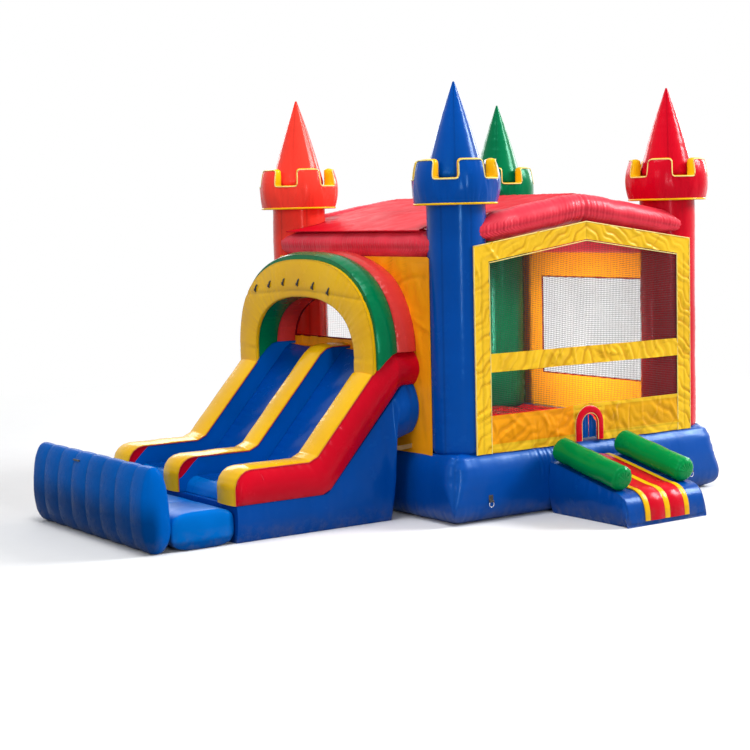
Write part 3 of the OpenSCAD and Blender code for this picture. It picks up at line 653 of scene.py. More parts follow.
class BOUNCE_OT_base(bpy.types.Operator):
    """Blows up the four base tubes, mitred at the corners, with pleats beside the ramp"""

    bl_idname = "bounce.base"
    bl_label = "Base tubes"

    def execute(self, context):
        high = box("base_tubes")[1]
        half, top = high[0], high[2]
        wide = half - box("bounce_floor")[1][0]
        ramp_low, ramp_high = box("ramp_body")
        c, s = rounded(80, 2.8)
        girdle = 0.38 * top  # Height where a tube is widest
        inset, rise = wide / 2 * (1 - c), girdle + np.where(s > 0, top - girdle, girdle) * s
        # The corners bend round a small radius at the ground and a large one above
        bend = np.maximum(0.02 + 0.21 * smooth((rise - 0.06) / 0.5) - inset, 0.004)
        reach = half - inset
        straight = reach - bend
        ends = np.linspace(0, np.pi / 4, 12)[1:]

        def corner(turn, side):
            return spots(side * straight + bend * np.sin(turn), -straight - bend * np.cos(turn), rise)

        rows = np.array(
            [corner(turn, -1) for turn in -ends[::-1]]
            + [spots(t * straight, -reach, rise) for t in spaced(-1, 1, sizes().mesh_size / half)]
            + [corner(turn, 1) for turn in ends])
        x = rows[..., 0]
        mitre = (np.abs(rows[..., 1]) - np.abs(x)) / math.sqrt(2)
        girth = np.broadcast_to(run(spots(inset, rise)), x.shape)
        outer = smooth((0.16 - inset) / 0.1)
        for quarter, side in enumerate(SIDES):
            swell = (valley(mitre, 0.7, 0.03)
                     + puckers(girth, mitre, 11 + quarter, 1.6, 1.4, 1.5)
                     + 0.006 * outer * ripple(x, 0.75, 3 + quarter)
                     + puckers(x, np.minimum(rise, 0.3), 19 + quarter, 1.2, 1.3, 1.6) * outer)
            fittings = [box(node) for node in BASE_FITTINGS.get(side, ())]
            still = calm(x if side == "front" else -x, fittings)
            swell = swell * (1 - outer * (1 - still))
            if side == "front":
                beside = np.minimum(np.abs(x - ramp_low[0] + 0.05), np.abs(x - ramp_high[0] - 0.05))
                pleat = np.exp(-((beside / 0.15) ** 2) - ((rise - 0.62) / 0.26) ** 2)
                swell = swell + 0.013 * pleat * ripple(x, 0.06, 5)
            grid = turned(grounded(pushed(rows, swell)), quarter)
            # The red inner half stays out of sight under the front's lower panel
            red_from = wide if side == "front" else 0.5 * wide
            red = np.broadcast_to((inset > red_from) & (rise > 0.4), x.shape)
            grid, (seam, red) = closed(grid, [0.4 * near_seam(mitre, 0.012), red], 0.0, 3)
            placed(sewn(f"base_tube_{side}", grid, seam, parts=red), ["base_tubes"],
                   "vinyl_blue", "base_blue", "red", fill=0.95)
        return {"FINISHED"}


class BOUNCE_OT_floor(bpy.types.Operator):
    """Sews the bounce floor into parallel rolls"""

    bl_idname = "bounce.floor"
    bl_label = "Bounce floor"

    def execute(self, context):
        low, high = box("bounce_floor")
        rolls, per_roll, channel = 8, 14, 0.06
        along = np.linspace(0, rolls, rolls * per_roll + 1)
        x = low[0] + (high[0] - low[0]) * along / rolls
        crown = np.abs(np.sin(np.pi * along)) ** 0.7
        edge = np.minimum(along % 1, 1 - along % 1) * (high[0] - low[0]) / rolls
        rows, seams = [], []
        for y in spaced(low[1], high[1], 0.03):
            fall = 0.04 * np.exp(-(min(y - low[1], high[1] - y)) / 0.05)
            z = high[2] - channel + channel * crown - fall
            z = z + puckers(np.full_like(x, y), edge, 31, 0.8)
            upper = spots(x, y, z)
            under = np.array([[high[0], y, 0.02], [low[0], y, 0.02]])
            rows.append(np.vstack([upper, under, upper[:1]]))
            seams.append(np.concatenate([near_seam(edge, 0.02), [0, 0], [1]]))
        grid, (seam,) = closed(np.array(rows), [np.array(seams)], 0.0, 2)
        placed(sewn("bounce_mattress", grid, seam), ["bounce_floor"], "vinyl_red", "red", fill=0.9)
        return {"FINISHED"}


# Each turret's finish and slot, and the turn of its crown's first notch in degrees
TURRETS = {
    "front_left": ("blue", "vinyl_blue", 219.5), "front_right": ("red", "vinyl_red", 250.8),
    "back_right": ("green", "vinyl_green", 255.2),
    "back_left": ("orange_red", "vinyl_orange_red", 218.7),
}


def gored(middle, heights, radii, first_seam):
    """Rows of a round upright piece, with its distance from the seams between its gores."""
    turn = np.linspace(0, 2 * np.pi, 97)
    step = 2 * np.pi / sizes().gores
    off = np.abs((turn - first_seam + step / 2) % step - step / 2)
    x = middle[0] + radii[:, None] * np.cos(turn)
    y = middle[1] + radii[:, None] * np.sin(turn)
    return spots(x, y, heights[:, None]), radii[:, None] * off, radii[:, None] * turn


class BOUNCE_OT_columns(bpy.types.Operator):
    """Blows up the four corner columns"""

    bl_idname = "bounce.columns"
    bl_label = "Columns"

    def execute(self, context):
        for number, (corner, (finish, slot, _)) in enumerate(TURRETS.items()):
            low, high = box(f"column_{corner}")
            middle, radius = (low + high) / 2, (high[0] - low[0]) / 2
            heights = spaced(low[2] - 0.02, high[2], 0.022)
            ends = np.minimum(heights - heights[0], heights[-1] - heights)
            radii = radius - 0.03 * np.exp(-ends / 0.02)
            rows, off, place = gored(middle, heights, radii, 0.4 + number)
            foot = (heights - heights[0])[:, None] + 0 * off
            swell = (valley(off, 0.45, 0.02) + puckers(place, foot, 41 + number, 1.3, 1.2, 1.6)
                     + puckers(foot, off, 51 + number, 0.5, 1.6)
                     + 0.004 * ripple(foot + 0.3 * place, 1.1, 61 + number))
            grid, (seam,) = closed(pushed(rows, swell), [near_seam(off, 0.008)], 0.0, 3)
            placed(sewn(f"turret_column_{corner}", grid, seam), [f"column_{corner}"], slot, finish,
                   fill=1.0)
        return {"FINISHED"}


class BOUNCE_OT_crowns(bpy.types.Operator):
    """Sews the notched crowns, with gold tops and pale piping along their edges"""

    bl_idname = "bounce.crowns"
    bl_label = "Crowns"

    def execute(self, context):
        notches, half_notch, notch_depth = 5, math.radians(18), 0.2
        wall, belly_height, belly_reach, belly = 0.135, 0.21, 0.27, 0.042
        period = 2 * math.pi / notches
        for corner, (finish, slot, turn) in TURRETS.items():
            low, high = box(f"crown_{corner}")
            middle, outer = (low + high) / 2, (high[0] - low[0]) / 2
            inner, bottom, top = outer - wall, low[2], high[2]
            turn = math.radians(turn)
            line = []
            for k in range(-1, notches + 1):
                at = turn + k * period
                line += [(at - half_notch, top), (at - half_notch, top - notch_depth),
                         (at + half_notch, top - notch_depth), (at + half_notch, top)]
            edge = softened(resampled(np.array(line) * (outer, 1), 0.0135), 7)
            place = edge[:, 0] / outer
            start = turn - math.pi / notches
            first = int(np.argmin(np.abs(place - start)))
            last = int(np.argmin(np.abs(place - start - 2 * math.pi)))
            edge, place = edge[first:last + 1], place[first:last + 1]
            place = start + (place - place[0]) / (place[-1] - place[0]) * 2 * math.pi
            tops = edge[:, 1].copy()
            tops[-1] = tops[0]
            spread = run(edge)
            at_foot = start + 2 * math.pi * spread / spread[-1]

            def skin(angle, height, share):
                """A point of the crown at a share from its inner to its outer face."""
                full = 1 - ((height - bottom - belly_height) / belly_reach) ** 2
                radius = inner + (outer - belly + belly * full - inner) * share
                return spots(middle[0] + radius * np.cos(angle),
                             middle[1] + radius * np.sin(angle), height)

            def upright(t, share):
                """A line round the crown, from its foot at 0 to its notched edge at 1."""
                return skin(at_foot + (place - at_foot) * t, bottom + (tops - bottom) * t, share)

            def shares(begin, end, count):
                return np.linspace(begin, end, count, endpoint=False)

            side_steps, top_steps = 14, 8
            strips = (
                [(upright(t, 1.0), 0, 0.006 * math.sin(math.pi * t)) for t in shares(0, 1, side_steps)]
                + [(skin(place, tops, 1 - t), 1, 0.064 * t * (1 - t)) for t in shares(0, 1, top_steps)]
                + [(upright(t, 0.0), 0, 0.0) for t in shares(1, 0, 6)]
                + [(skin(at_foot, bottom + 0 * place, t), 0, 0.0) for t in shares(0, 1, 5)])
            columns, parts, lift = zip(*strips, (strips[0][0], 0, 0.0))
            rows = np.stack(columns, 1)
            up = shares(0, 1, side_steps) * (tops - bottom)[:, None]
            down = (tops - bottom)[:, None] - up
            spot = np.arange(len(place))
            free = smooth(np.minimum(spot, spot[::-1]) / 8)[:, None]
            along = (place * outer)[:, None] + 0 * up
            puff = -0.012 * np.cos(notches * (place - turn))[:, None] * np.sin(np.pi * up / (up + down))
            lift = np.repeat(np.array(lift)[None], len(place), 0)
            lift[:, :side_steps] += puff + free * (
                puckers(along, up, 101, 0.9, 1.1, 1.2) + puckers(along, down, 105, 0.7, 1.2, 0.9))
            rows = rows + outward(rows) * lift[..., None]
            rows[-1] = rows[0]
            seam = np.zeros(rows.shape[:2])
            seam[:, [0, side_steps, side_steps + top_steps]] = 0.8
            crown = sewn(f"turret_crown_{corner}", rows, seam,
                         parts=np.broadcast_to(parts, rows.shape[:2]), angle=70)
            placed(crown, [f"crown_{corner}"], slot, finish, "gold", fill=0.95)
            rim = skin(place, tops, 1.004)[::2]
            placed(corded(f"crown_piping_{corner}", rim, sizes().piping, True), [],
                   "vinyl_yellow", "piping")
            foot = skin(np.linspace(0, 2 * np.pi, 73), bottom, 1.0)
            placed(corded(f"crown_hem_{corner}", foot, 1.7 * sizes().piping, True), [],
                   "vinyl_yellow", "gold")
        return {"FINISHED"}


class BOUNCE_OT_spires(bpy.types.Operator):
    """Blows up the pointed spires"""

    bl_idname = "bounce.spires"
    bl_label = "Spires"

    def execute(self, context):
        for number, (corner, (finish, slot, _)) in enumerate(TURRETS.items()):
            low, high = box(f"spire_{corner}")
            middle, foot = (low + high) / 2, (high[0] - low[0]) / 2
            heights = spaced(low[2], high[2] - 0.004, 0.02)
            along = (heights - heights[0]) / (heights[-1] - heights[0])
            radii = foot * (1 - along) + 0.012 * along + 0.014 * np.sin(np.pi * along)
            radii = radii - 0.02 * np.exp(-(heights - heights[0]) / 0.02)
            rows, off, place = gored(middle, heights, radii, 0.9 + number)
            rise = (heights - heights[0])[:, None] + 0 * off
            fade = smooth(radii / 0.12)[:, None]
            swell = fade * (valley(off, 0.3, 0.016) + puckers(rise, off, 71 + number, 0.5, 1.5, 0.8)
                            + puckers(place, rise, 81 + number, 1.2))
            grid, (seam,) = closed(pushed(rows, swell), [near_seam(off, 0.006)], (0.0, 0.004), 3)
            placed(sewn(f"turret_spire_{corner}", grid, seam), [f"spire_{corner}"], slot, finish,
                   fill=1.0)
        return {"FINISHED"}


def column_ring():
    """Place of the columns' axes, and the radius that just clears a column."""
    low, high = box("column_front_right")
    return (low[0] + high[0]) / 2, (high[0] - low[0]) / 2 + 0.0003


class BOUNCE_OT_beams(bpy.types.Operator):
    """Blows up the beams between the columns, gabled at the front and back"""

    bl_idname = "bounce.beams"
    bl_label = "Beams"

    def execute(self, context):
        axis, radius = column_ring()
        turn = np.linspace(0, 2 * np.pi, 45)
        for quarter, side in enumerate(SIDES):
            low, high = box(f"beam_{side}")
            gabled = side in ("front", "back")
            thick = (high[1] - low[1]) / 2 if gabled else (high[0] - low[0]) / 2
            away = thick * (1 + np.cos(turn))
            end = axis - np.sqrt(np.maximum(radius ** 2 - away ** 2, 0))
            x = spaced(-1, 1, 0.0075)[:, None] * end
            left = end - np.abs(x)
            if gabled:
                peak, eave = high[2] - thick * 1.011, low[2] + thick * 0.76
                blunt = 0.06
                middle = peak - (peak - eave) / axis * (np.hypot(x, blunt) - blunt)
                sag = 1.0
            else:
                middle = np.full_like(x, (low[2] + high[2]) / 2)
                # The level beams sag a little over the walls' top hems
                sag = np.where(np.sin(turn) < 0, 1.3, 1.0)
            puff = thick * (1 - 0.26 * np.exp(-left / 0.07))
            rows = spots(x, -(axis + thick + puff * np.cos(turn)), middle + puff * sag * np.sin(turn))
            girth = np.broadcast_to(thick * turn, x.shape)
            lower = np.abs((girth - thick * 0.94 * np.pi) % (thick * 2 * np.pi) - thick * np.pi)
            upper = np.abs(girth - thick * 0.45 * np.pi)
            middle_seam = np.abs(x) if gabled else np.full_like(x, FAR)
            swell = (puckers(x, lower, 91 + quarter, 1.7, 0.62, 0.9) + valley(lower, 1.3)
                     + puckers(x, upper, 95 + quarter, 0.8, 1.0) + valley(upper, 0.6)
                     + puckers(girth, left, 99 + quarter, 1.8, 1.3, 1.8)
                     + valley(middle_seam, 0.8) + 0.006 * ripple(x + 0.2 * girth, 0.5, 7 + quarter))
            seam = np.maximum.reduce([near_seam(lower), near_seam(upper), near_seam(middle_seam)])
            grid, (seam,) = closed(turned(pushed(rows, swell), quarter), [seam], 0.0, 3)
            placed(sewn(f"red_beam_{side}", grid, seam), [f"beam_{side}"], "vinyl_red", "beam_red",
                   fill=0.95)
        return {"FINISHED"}


class BOUNCE_OT_roof(bpy.types.Operator):
    """Stretches the roof cover between the beams and columns"""

    bl_idname = "bounce.roof"
    bl_label = "Roof cover"

    def execute(self, context):
        low, high = box("roof_cover")
        axis, radius = column_ring()
        thick, quilt_at, columns_at, hair, soft = 0.012, 0.95, 1.25, 0.0001, 0.03
        fall = (high[2] - thick - low[2]) / high[0]
        steps = [side * (columns_at + off) for side in (-1, 1) for off in (-hair, hair)]
        x = np.unique(np.concatenate([spaced(low[0], high[0], 0.03), steps]))
        near = np.maximum(radius ** 2 - (np.abs(x) - axis) ** 2, 0)
        end = np.where(near > 0, axis - np.sqrt(near), high[1])
        end = np.minimum(np.where(np.abs(x) > axis + radius, axis, end), high[1])
        # The corners are cut blunt past the columns' axes
        blunt = axis - radius
        end = np.where(np.abs(x) > axis, blunt + 0.3 * (end - blunt), end)
        across = np.linspace(-1, 1, 90)
        y = end[:, None] * across
        u = np.broadcast_to(x[:, None], y.shape)
        edge = end[:, None] - np.abs(y)
        ridge = np.abs(u)
        height = high[2] - thick - fall * (np.hypot(u, soft) - soft)
        quilt = np.minimum(np.abs(u - quilt_at), np.abs(u + quilt_at))
        billow = 0.02 * (np.sin(np.pi * np.clip(ridge / high[0], 0, 1)) ** 2) * (1 - across ** 2)
        crease = creases(u, y, 125, 22, (0, 90, 45, 135), 0.04, 0.6) * smooth(edge / 0.2)
        height = height + (
            billow + puckers(y, ridge, 121, 0.9, 1.4, 1.6) + puckers(y, quilt, 122, 0.8, 1.4, 1.6)
            + puckers(u, edge, 123, 1.3, 1.2, 2.0) + 0.5 * sizes().fold * crease)
        rows = two_skins(spots(u, y, height + thick), spots(u, y, height))
        seam = near_seam(np.minimum(ridge, quilt), 0.012)
        seam = ended(wrapped(seam, 0 * seam))
        cover = placed(sewn("roof_sheet", rows, seam), ["roof_cover"], "vinyl_red", "roof_red")
        return {"FINISHED"}


# Walls and the front


def facing(node, axis, sign):
    """Places a panel's points on the inner plane of a wall node, out along one axis."""
    low, high = box(node)
    plane = low[axis] if sign > 0 else high[axis]

    def face(u, z, out):
        off = plane + sign * out
        return spots(off, u, z) if axis == 0 else spots(u, off, z)

    return face


def vinyl_panel(name, inner, outer, face, relief, ring=False, thick=0.012, across=16, parts=None):
    """A thin panel between two lines, with its folds raised on its outer side."""
    t = np.linspace(0, 1, across)[:, None]
    line = inner[:, None] * (1 - t) + outer[:, None] * t
    u, z = line[..., 0], line[..., 1]
    rise, fold, seam = relief(u, z)
    rise = np.maximum(rise, -0.5 * thick)
    front, back = face(u, z, thick + rise), face(u, z, np.minimum(rise, 0) * 0.5)
    kinds = np.zeros_like(u) if parts is None else parts(u, z)
    rows = wrapped(front, back) if ring else two_skins(front, back)
    # The fold field carries the painted shade of the folds' hollows
    fields = [wrapped(seam, 0.4 * seam), wrapped(fold, 0.4 * fold), wrapped(kinds, kinds)]
    seam, fold, kinds = fields if ring else map(ended, fields)
    return sewn(name, rows, seam, fold, parts=kinds, angle=60)


def folds(seed, count, lean, width=0.03, reach=0.45, edge=None, pleat=None):
    """Relief of a stretched panel: ridges, painted shade in the hollows beside them, gathers that lean
    to the same side on each half with painted shade in their hollows, and its sewn lines."""
    def relief(u, z):
        up = creases(u, z, seed, count, lean, width, reach)
        down = creases(u, z, seed + 1, count, lean, width * 0.7, reach)
        line = np.full_like(u, FAR) if edge is None else edge(u, z)
        rise = 0.8 * np.minimum(up, 1.4) - 0.5 * np.minimum(down, 1.2)
        rise = sizes().fold * rise + valley(line, 0.5)
        # Painted shade: the hollows beside the ridges are marked dark, for the finish to darken
        dark = np.clip(down * 0.9 - 0.25 * up, 0, 1)
        if pleat:
            wave, turn, height = pleat
            turn = math.radians(turn)
            across = np.abs(u) * math.cos(turn) + z * math.sin(turn)
            along = z * math.cos(turn) - np.abs(u) * math.sin(turn)
            gather = ripple(across + 0.03 * ripple(along, 0.3, seed + 2), wave, seed + 3)
            patchy = smooth(0.6 + 0.6 * ripple(along + 0.6 * across, 0.5, seed + 4))
            gather = gather * (0.35 + 0.65 * patchy)
            rise = rise + height * gather
            # Painted shade in the hollows of the gathers
            dark = np.maximum(dark, np.clip(-1.9 * gather - 0.15, 0, 1))
        return rise, dark, near_seam(line, 0.01)
    return relief


def matched(a, b, step):
    """Two lines with the same number of points between their matching corners."""
    a, b = np.array(a, float), np.array(b, float)
    first, second = [], []
    for k in range(len(a) - 1):
        reach = max(math.dist(a[k], a[k + 1]), math.dist(b[k], b[k + 1]))
        count = max(1, int(round(reach / step)))
        t = (np.arange(count) / count)[:, None]
        first.append(a[k] + (a[k + 1] - a[k]) * t)
        second.append(b[k] + (b[k + 1] - b[k]) * t)
    return np.vstack(first + [a[-1:]]), np.vstack(second + [b[-1:]])


def area_of(piece):
    """Half of a closed sheet's surface, which is about its cut."""
    faces = np.empty(len(piece.data.polygons))
    piece.data.polygons.foreach_get("area", faces)
    return float(faces.sum() / 2)


FRONT_TUCK = 0.035  # How far the front's feet are sunk into the base


class BOUNCE_OT_front(bpy.types.Operator):
    """Sews the front's yellow frame, its strap and its lower panel"""

    bl_idname = "bounce.front"
    bl_label = "Front panels"

    def execute(self, context):
        self.border()
        self.strap()
        self.lower_panel()
        return {"FINISHED"}

    def border(self):
        low, high = box("front_frame")
        half, foot, peak = high[0], low[2] - FRONT_TUCK, high[2]
        opening = box("front_net")[1][0]
        eave, inner_eave, inner_peak = 2.96, 2.789, 2.99
        face = facing("front_frame", 1, -1)

        def outline(wide, shoulder, top):
            return [(-wide, foot), (-wide, shoulder), (0, top), (wide, shoulder), (wide, foot)]

        def strips(u, z):
            leg = np.where(z < inner_eave, np.abs(np.abs(u) - (half + opening) / 2), FAR)
            return np.minimum(leg, np.where(z > inner_eave, np.abs(u), FAR))

        inner, outer = matched(
            outline(opening, inner_eave, inner_peak), outline(half, eave, peak), 0.018)
        relief = folds(201, 30, (52, 118, 80, 20), 0.016, 0.15, strips, (0.085, 52, 0.011))
        cloth = vinyl_panel("yellow_front_frame", inner, outer, face, relief)
        placed(cloth, ["front_frame"], "vinyl_yellow", "yellow")
        trim = [corded("trim", face(*line.T, 0.012), 0.006, around=6)
                for line in (inner * 0.995, outer * 0.998)]
        placed(joined("front_frame_piping", trim), [], "vinyl_yellow", "piping")
        float(run((inner + outer) / 2)[-1])

    def strap(self):
        low, high = box("front_strap")
        u = spaced(low[0], high[0], 0.016)
        relief = folds(211, 30, (20, 160, 70, 110), 0.016, 0.12, None, (0.11, 28, 0.010))
        cloth = vinyl_panel(
            "yellow_front_strap", spots(u, low[2]), spots(u, high[2]), facing("front_strap", 1, -1),
            relief, thick=high[1] - low[1], across=12)
        placed(cloth, ["front_strap"], "vinyl_yellow", "yellow")

    def lower_panel(self):
        low, high = box("front_lower_panel")
        door = box("doorway_band")[1]
        arch_r, arch_z = door[0] - 0.012, door[2] - door[0]
        hem, patch, drop = 0.05, 0.24, 0.02  # The orange patch's top hangs a drop lower
        side = spaced(low[0], -arch_r - 0.0005, 0.016)
        arc = np.linspace(np.pi, 0, 40)
        foot = low[2] - FRONT_TUCK
        bottom = np.concatenate([
            spots(side, foot), spots(arch_r * np.cos(arc), arch_z + arch_r * np.sin(arc)),
            spots(-side[::-1], foot)])
        top = spots(bottom[:, 0], high[2] - drop * smooth((-0.25 - bottom[:, 0]) / 0.06))

        def three_colours(u, z):
            cloth = z > low[2] + 0.055
            right = cloth & (u > patch) & (z < high[2] - hem)
            return np.where(cloth & (u < -patch), 1, np.where(right, 2, 0))

        def hems(u, z):
            level = np.minimum(np.abs(z - high[2] + hem), np.abs(z - low[2] - hem))
            return np.minimum(level, np.abs(u + 0.63) + 0.01)

        relief = folds(221, 34, (35, 145, 80, 100), 0.018, 0.16, hems, (0.14, 62, 0.010))
        cloth = vinyl_panel("yellow_lower_panel", bottom, top, facing("front_lower_panel", 1, -1),
                            relief, across=22, parts=three_colours)
        placed(cloth, ["front_lower_panel"], "vinyl_yellow", "yellow", "orange", "deep_gold")


class BOUNCE_OT_doorway(bpy.types.Operator):
    """Sews the doorway's padded band with its piping, and its two curtain flaps"""

    bl_idname = "bounce.doorway"
    bl_label = "Doorway"

    def execute(self, context):
        low, high = box("doorway_band")
        outer, spring = high[0], high[2] - high[0]
        hem = -box("door_flap_left")[0][0]
        self.band(low, high, spring, (outer - hem) / 2 - 0.0005)
        for sign, side in ((-1, "left"), (1, "right")):
            self.flap(sign, side, spring, hem)
        return {"FINISHED"}

    def band(self, low, high, spring, half):
        middle, deep = high[0] - half, 0.023
        arc = np.linspace(np.pi, 0, 70)
        leg = spaced(low[2] - 0.02, spring, 0.012)[:-1]
        line = np.concatenate([
            spots(-middle, leg), spots(middle * np.cos(arc), spring + middle * np.sin(arc)),
            spots(middle, leg[::-1])])
        out = np.concatenate([
            spots(-1.0, 0 * leg), spots(np.cos(arc), np.sin(arc)), spots(1.0, 0 * leg)])
        c, s = rounded(28, 2.5)
        across = line[:, None] + out[:, None] * (half * c)[:, None]
        rows = spots(across[..., 0], high[1] - deep - deep * s, across[..., 1])
        place = np.broadcast_to(run(line)[:, None], rows.shape[:2])
        edge = np.broadcast_to(half * (1 - np.abs(c)), place.shape)
        rows = pushed(rows, puckers(place, edge, 231, 0.5, 0.6, 0.5))
        rows, (seam,) = closed(rows, [near_seam(edge, 0.004)], 0.0, 3)
        placed(sewn("doorway_padded_band", rows, seam), ["doorway_band"], "vinyl_red", "red", fill=0.9)
        trim = []
        # Each cord's place across the band, and how far it stands ahead of the band's middle
        for share, ahead in ((-0.86, 0.63), (0.98, 0.0)):
            at = line + out * half * share
            at = spots(at[:, 0], high[1] - deep * (1 + ahead), at[:, 1])
            trim.append(corded("trim", at, 0.004))
        placed(joined("doorway_piping", trim), [], "vinyl_yellow", "piping")

    def flap(self, sign, side, spring, hem):
        body = f"door_flap_{side}"
        low, high = box(body)
        hinge, slit = (low[0], high[0]) if sign < 0 else (high[0], low[0])
        slit = slit - sign * min(0.008, abs(slit) - 0.0035)
        hinge = hinge - sign * 0.005
        u = spaced(hinge, slit, 0.004)
        reach = math.hypot(slit, high[2] - spring)
        # The top is cut back at the hinge, so that the flap swings clear of the band
        band_front, band_gap, least, swing_most = 0.03, 0.009, 0.012, math.radians(75)
        off_hinge = np.abs(u - hinge)
        swing = np.arcsin(np.minimum(band_front / np.maximum(off_hinge, 0.001), math.sin(swing_most)))
        at_swing = abs(hinge) - off_hinge * np.cos(swing)
        clear = np.sqrt(np.maximum(hem ** 2 - at_swing ** 2, 0)) - band_gap
        arch = np.sqrt(np.maximum(reach ** 2 - u ** 2, 0.0004))
        top = spots(u, spring + np.minimum(arch, np.maximum(clear, least)))
        t = np.linspace(0, 1, 30)[:, None]
        grid = spots(u, low[2] + 0.008)[:, None] * (1 - t) + top[:, None] * t
        across, up = grid[..., 0], grid[..., 1]
        wave = 0.0028 * np.sin((across - hinge) * 150 + 3 * up) * np.linspace(0, 1, len(u))[:, None]
        y = (low[1] + high[1]) / 2
        skins = [spots(across, y + wave + off, up) for off in (-0.0016, 0.0016)]
        cloth = sewn(f"flap_cloth_{side}", two_skins(*skins), angle=60)
        placed(cloth, [body], "vinyl_blue", "blue", body=body)
        area_of(cloth)
        roll = spots(hinge, y, np.linspace(low[2] + 0.004, spring, 12))
        placed(corded(f"flap_hem_{side}", roll, 0.0045), [], "vinyl_blue", "blue", body=body)


WALL_TUCK = 0.06  # How far the walls are tucked in behind the base tubes
WALL_HALF = 1.5  # Where the walls end, sewn to the columns


class BOUNCE_OT_walls(bpy.types.Operator):
    """Sews the orange walls round their windows and round the way to the slide"""

    bl_idname = "bounce.walls"
    bl_label = "Walls"

    def execute(self, context):
        for number, (side, axis, sign) in enumerate((("right", 0, 1), ("back", 1, 1), ("left", 0, -1))):
            low, high = box(f"{side}_wall")
            half, foot, top = min(high[1 - axis], WALL_HALF), low[2] - WALL_TUCK, high[2]
            face = facing(f"{side}_wall", axis, sign)

            def window(wide, sill, head):
                return [(-wide, sill), (wide, sill), (wide, head), (-wide, head), (-wide, sill)]

            if side == "left":
                # The wall runs from the way to the slide straight out to its four edges
                sill, eye = 1.9, 2.1
                inner = arch_line(sill)
                centre = np.array((SLIDE_Y, eye))
                away = inner - centre
                edges = np.where(away > 0, np.array((half, top)), np.array((-half, foot))) - centre
                ratio = (np.abs(edges) / np.maximum(np.abs(away), 1e-6)).min(axis=1)
                outer = centre + away * ratio[:, None]
            else:
                net_low, net_high = box(f"{side}_net")
                inner, outer = matched(window(net_high[1 - axis], net_low[2], net_high[2]),
                                       window(half, foot, top), 0.022)
            relief = folds(241 + number * 3, 70, (90, 60, 120, 0), 0.028, 0.4)
            wall = vinyl_panel(f"orange_wall_{side}", inner, outer, face, relief, True, across=26)
            placed(wall, [f"{side}_wall"], "vinyl_orange", "orange")
            hem = face(*inner.T, 0.006)[::2]
            hem = hem if np.allclose(hem[0], hem[-1]) else np.vstack([hem, hem[:1]])
            placed(corded(f"wall_hem_{side}", hem, 0.011, True, 6), [], "vinyl_red", "dark_red")
        return {"FINISHED"}


class BOUNCE_OT_nets(bpy.types.Operator):
    """Knots the dark front net and the pale window nets"""

    bl_idname = "bounce.nets"
    bl_label = "Nets"

    def execute(self, context):
        make = sizes()
        dark = (make.net_pitch, make.net_strand, "net_dark", "net_dark")
        pale = (make.window_pitch, make.window_strand, "net_pale", "net_light")
        for node, axis, sign, (pitch, strand, finish, slot) in (
                ("front_net", 1, -1, dark), ("right_net", 0, 1, pale), ("back_net", 1, 1, pale)):
            low, high = box(node)
            half, front = high[1 - axis], node == "front_net"
            u = spaced(-half, half, pitch)
            t = np.linspace(0, 1, int(round((high[2] - low[2]) / pitch)) + 1)
            gable = 0.2013 if front else 0.0  # Fall of the net's head from its middle to its sides
            head = high[2] - gable * np.abs(u) / half
            z = low[2] + (head - low[2])[:, None] * t
            across = np.broadcast_to(u[:, None], z.shape)
            edge = np.minimum(half - np.abs(across), np.minimum(z - low[2], head[:, None] - z))
            sag = 0.004 * ripple(across + 0.4 * z, 0.7, 261) * smooth(edge / 0.2)
            thick = (high[axis] - low[axis]) / 2
            net = sewn(f"knotted_{node}", facing(node, axis, sign)(across, z, thick + sag))
            strands = net.modifiers.new("strands", "WIREFRAME")
            strands.thickness = strand
            strands.use_replace = strands.use_boundary = True
            strands.use_even_offset = False
            bpy.ops.object.modifier_apply(modifier="strands")
            bpy.ops.object.shade_flat()
            placed(net, [node], slot, finish)
            flat = (2 * half, high[2] - low[2])
            max(area_of(net), 0.31 * flat[0] * flat[1])
        return {"FINISHED"}


# The slide, its arch and the landing


# Side lines of the slide in X and Z, from its foot up to the house
SLIDE_Y = 0.18
SLIDE_TOP_X, FOOT_Z = -1.9026, 0.39
RAIL_NOSE, RAIL_NOSE_R = (-3.9906, 0.56), 0.19
LANE_NOSE, LANE_NOSE_R = (-3.9406, FOOT_Z), 0.16
NOSE_END = -3.9
SHOULDER = [(-2.18, 0.87), (SLIDE_TOP_X, 0.95)]
ARCH_FOOT, ARCH_HALF, ARCH_RISE, ARCH_POWER = 1.75, 1.03, 0.66, 2.4


def nose_round(middle, radius, *turns):
    """Points round a nose at some turns in degrees."""
    turns = np.radians(turns)
    return list(zip(middle[0] + radius * np.cos(turns), middle[1] + radius * np.sin(turns)))


def on_foot(*places):
    return [(x, FOOT_Z) for x in places]


RAIL_TOP = [
    (-4.1806, 0.392), (-4.1806, 0.56), *nose_round(RAIL_NOSE, RAIL_NOSE_R, 170, 150, 130, 110),
    (-3.9906, 0.75), (-3.2857, 0.75), (-3.1772, 0.7983), (-3.05, 0.9396), (-2.3176, 1.753),
    (-2.2376, 1.8108), (-2.1576, 1.83), (SLIDE_TOP_X, 1.83)]
RAIL_UNDER = [
    *on_foot(-4.1806, -4.17, -4.14, -4.10, -4.06, -4.02, -3.98, -3.12), (-3.02, 0.435),
    (-2.87, 0.6015), (-2.16, 1.39), (-2.11, 1.4456), (-2.06, 1.47), (SLIDE_TOP_X, 1.47)]
LANE_TOP = [
    (-4.1006, 0.392), *nose_round(LANE_NOSE, LANE_NOSE_R, 150, 130, 110), (-3.9406, 0.55),
    (-3.1967, 0.55), (-3.0882, 0.5983), (-2.0497, 1.7517), (-1.9862, 1.8), (SLIDE_TOP_X, 1.8)]
LANE_UNDER = [
    *on_foot(-4.1006, -4.06, -4.02, -3.98, -3.94, -3.12), (-3.0, 0.457), (-2.13, 1.423),
    (-2.06, 1.47), (SLIDE_TOP_X, 1.47)]


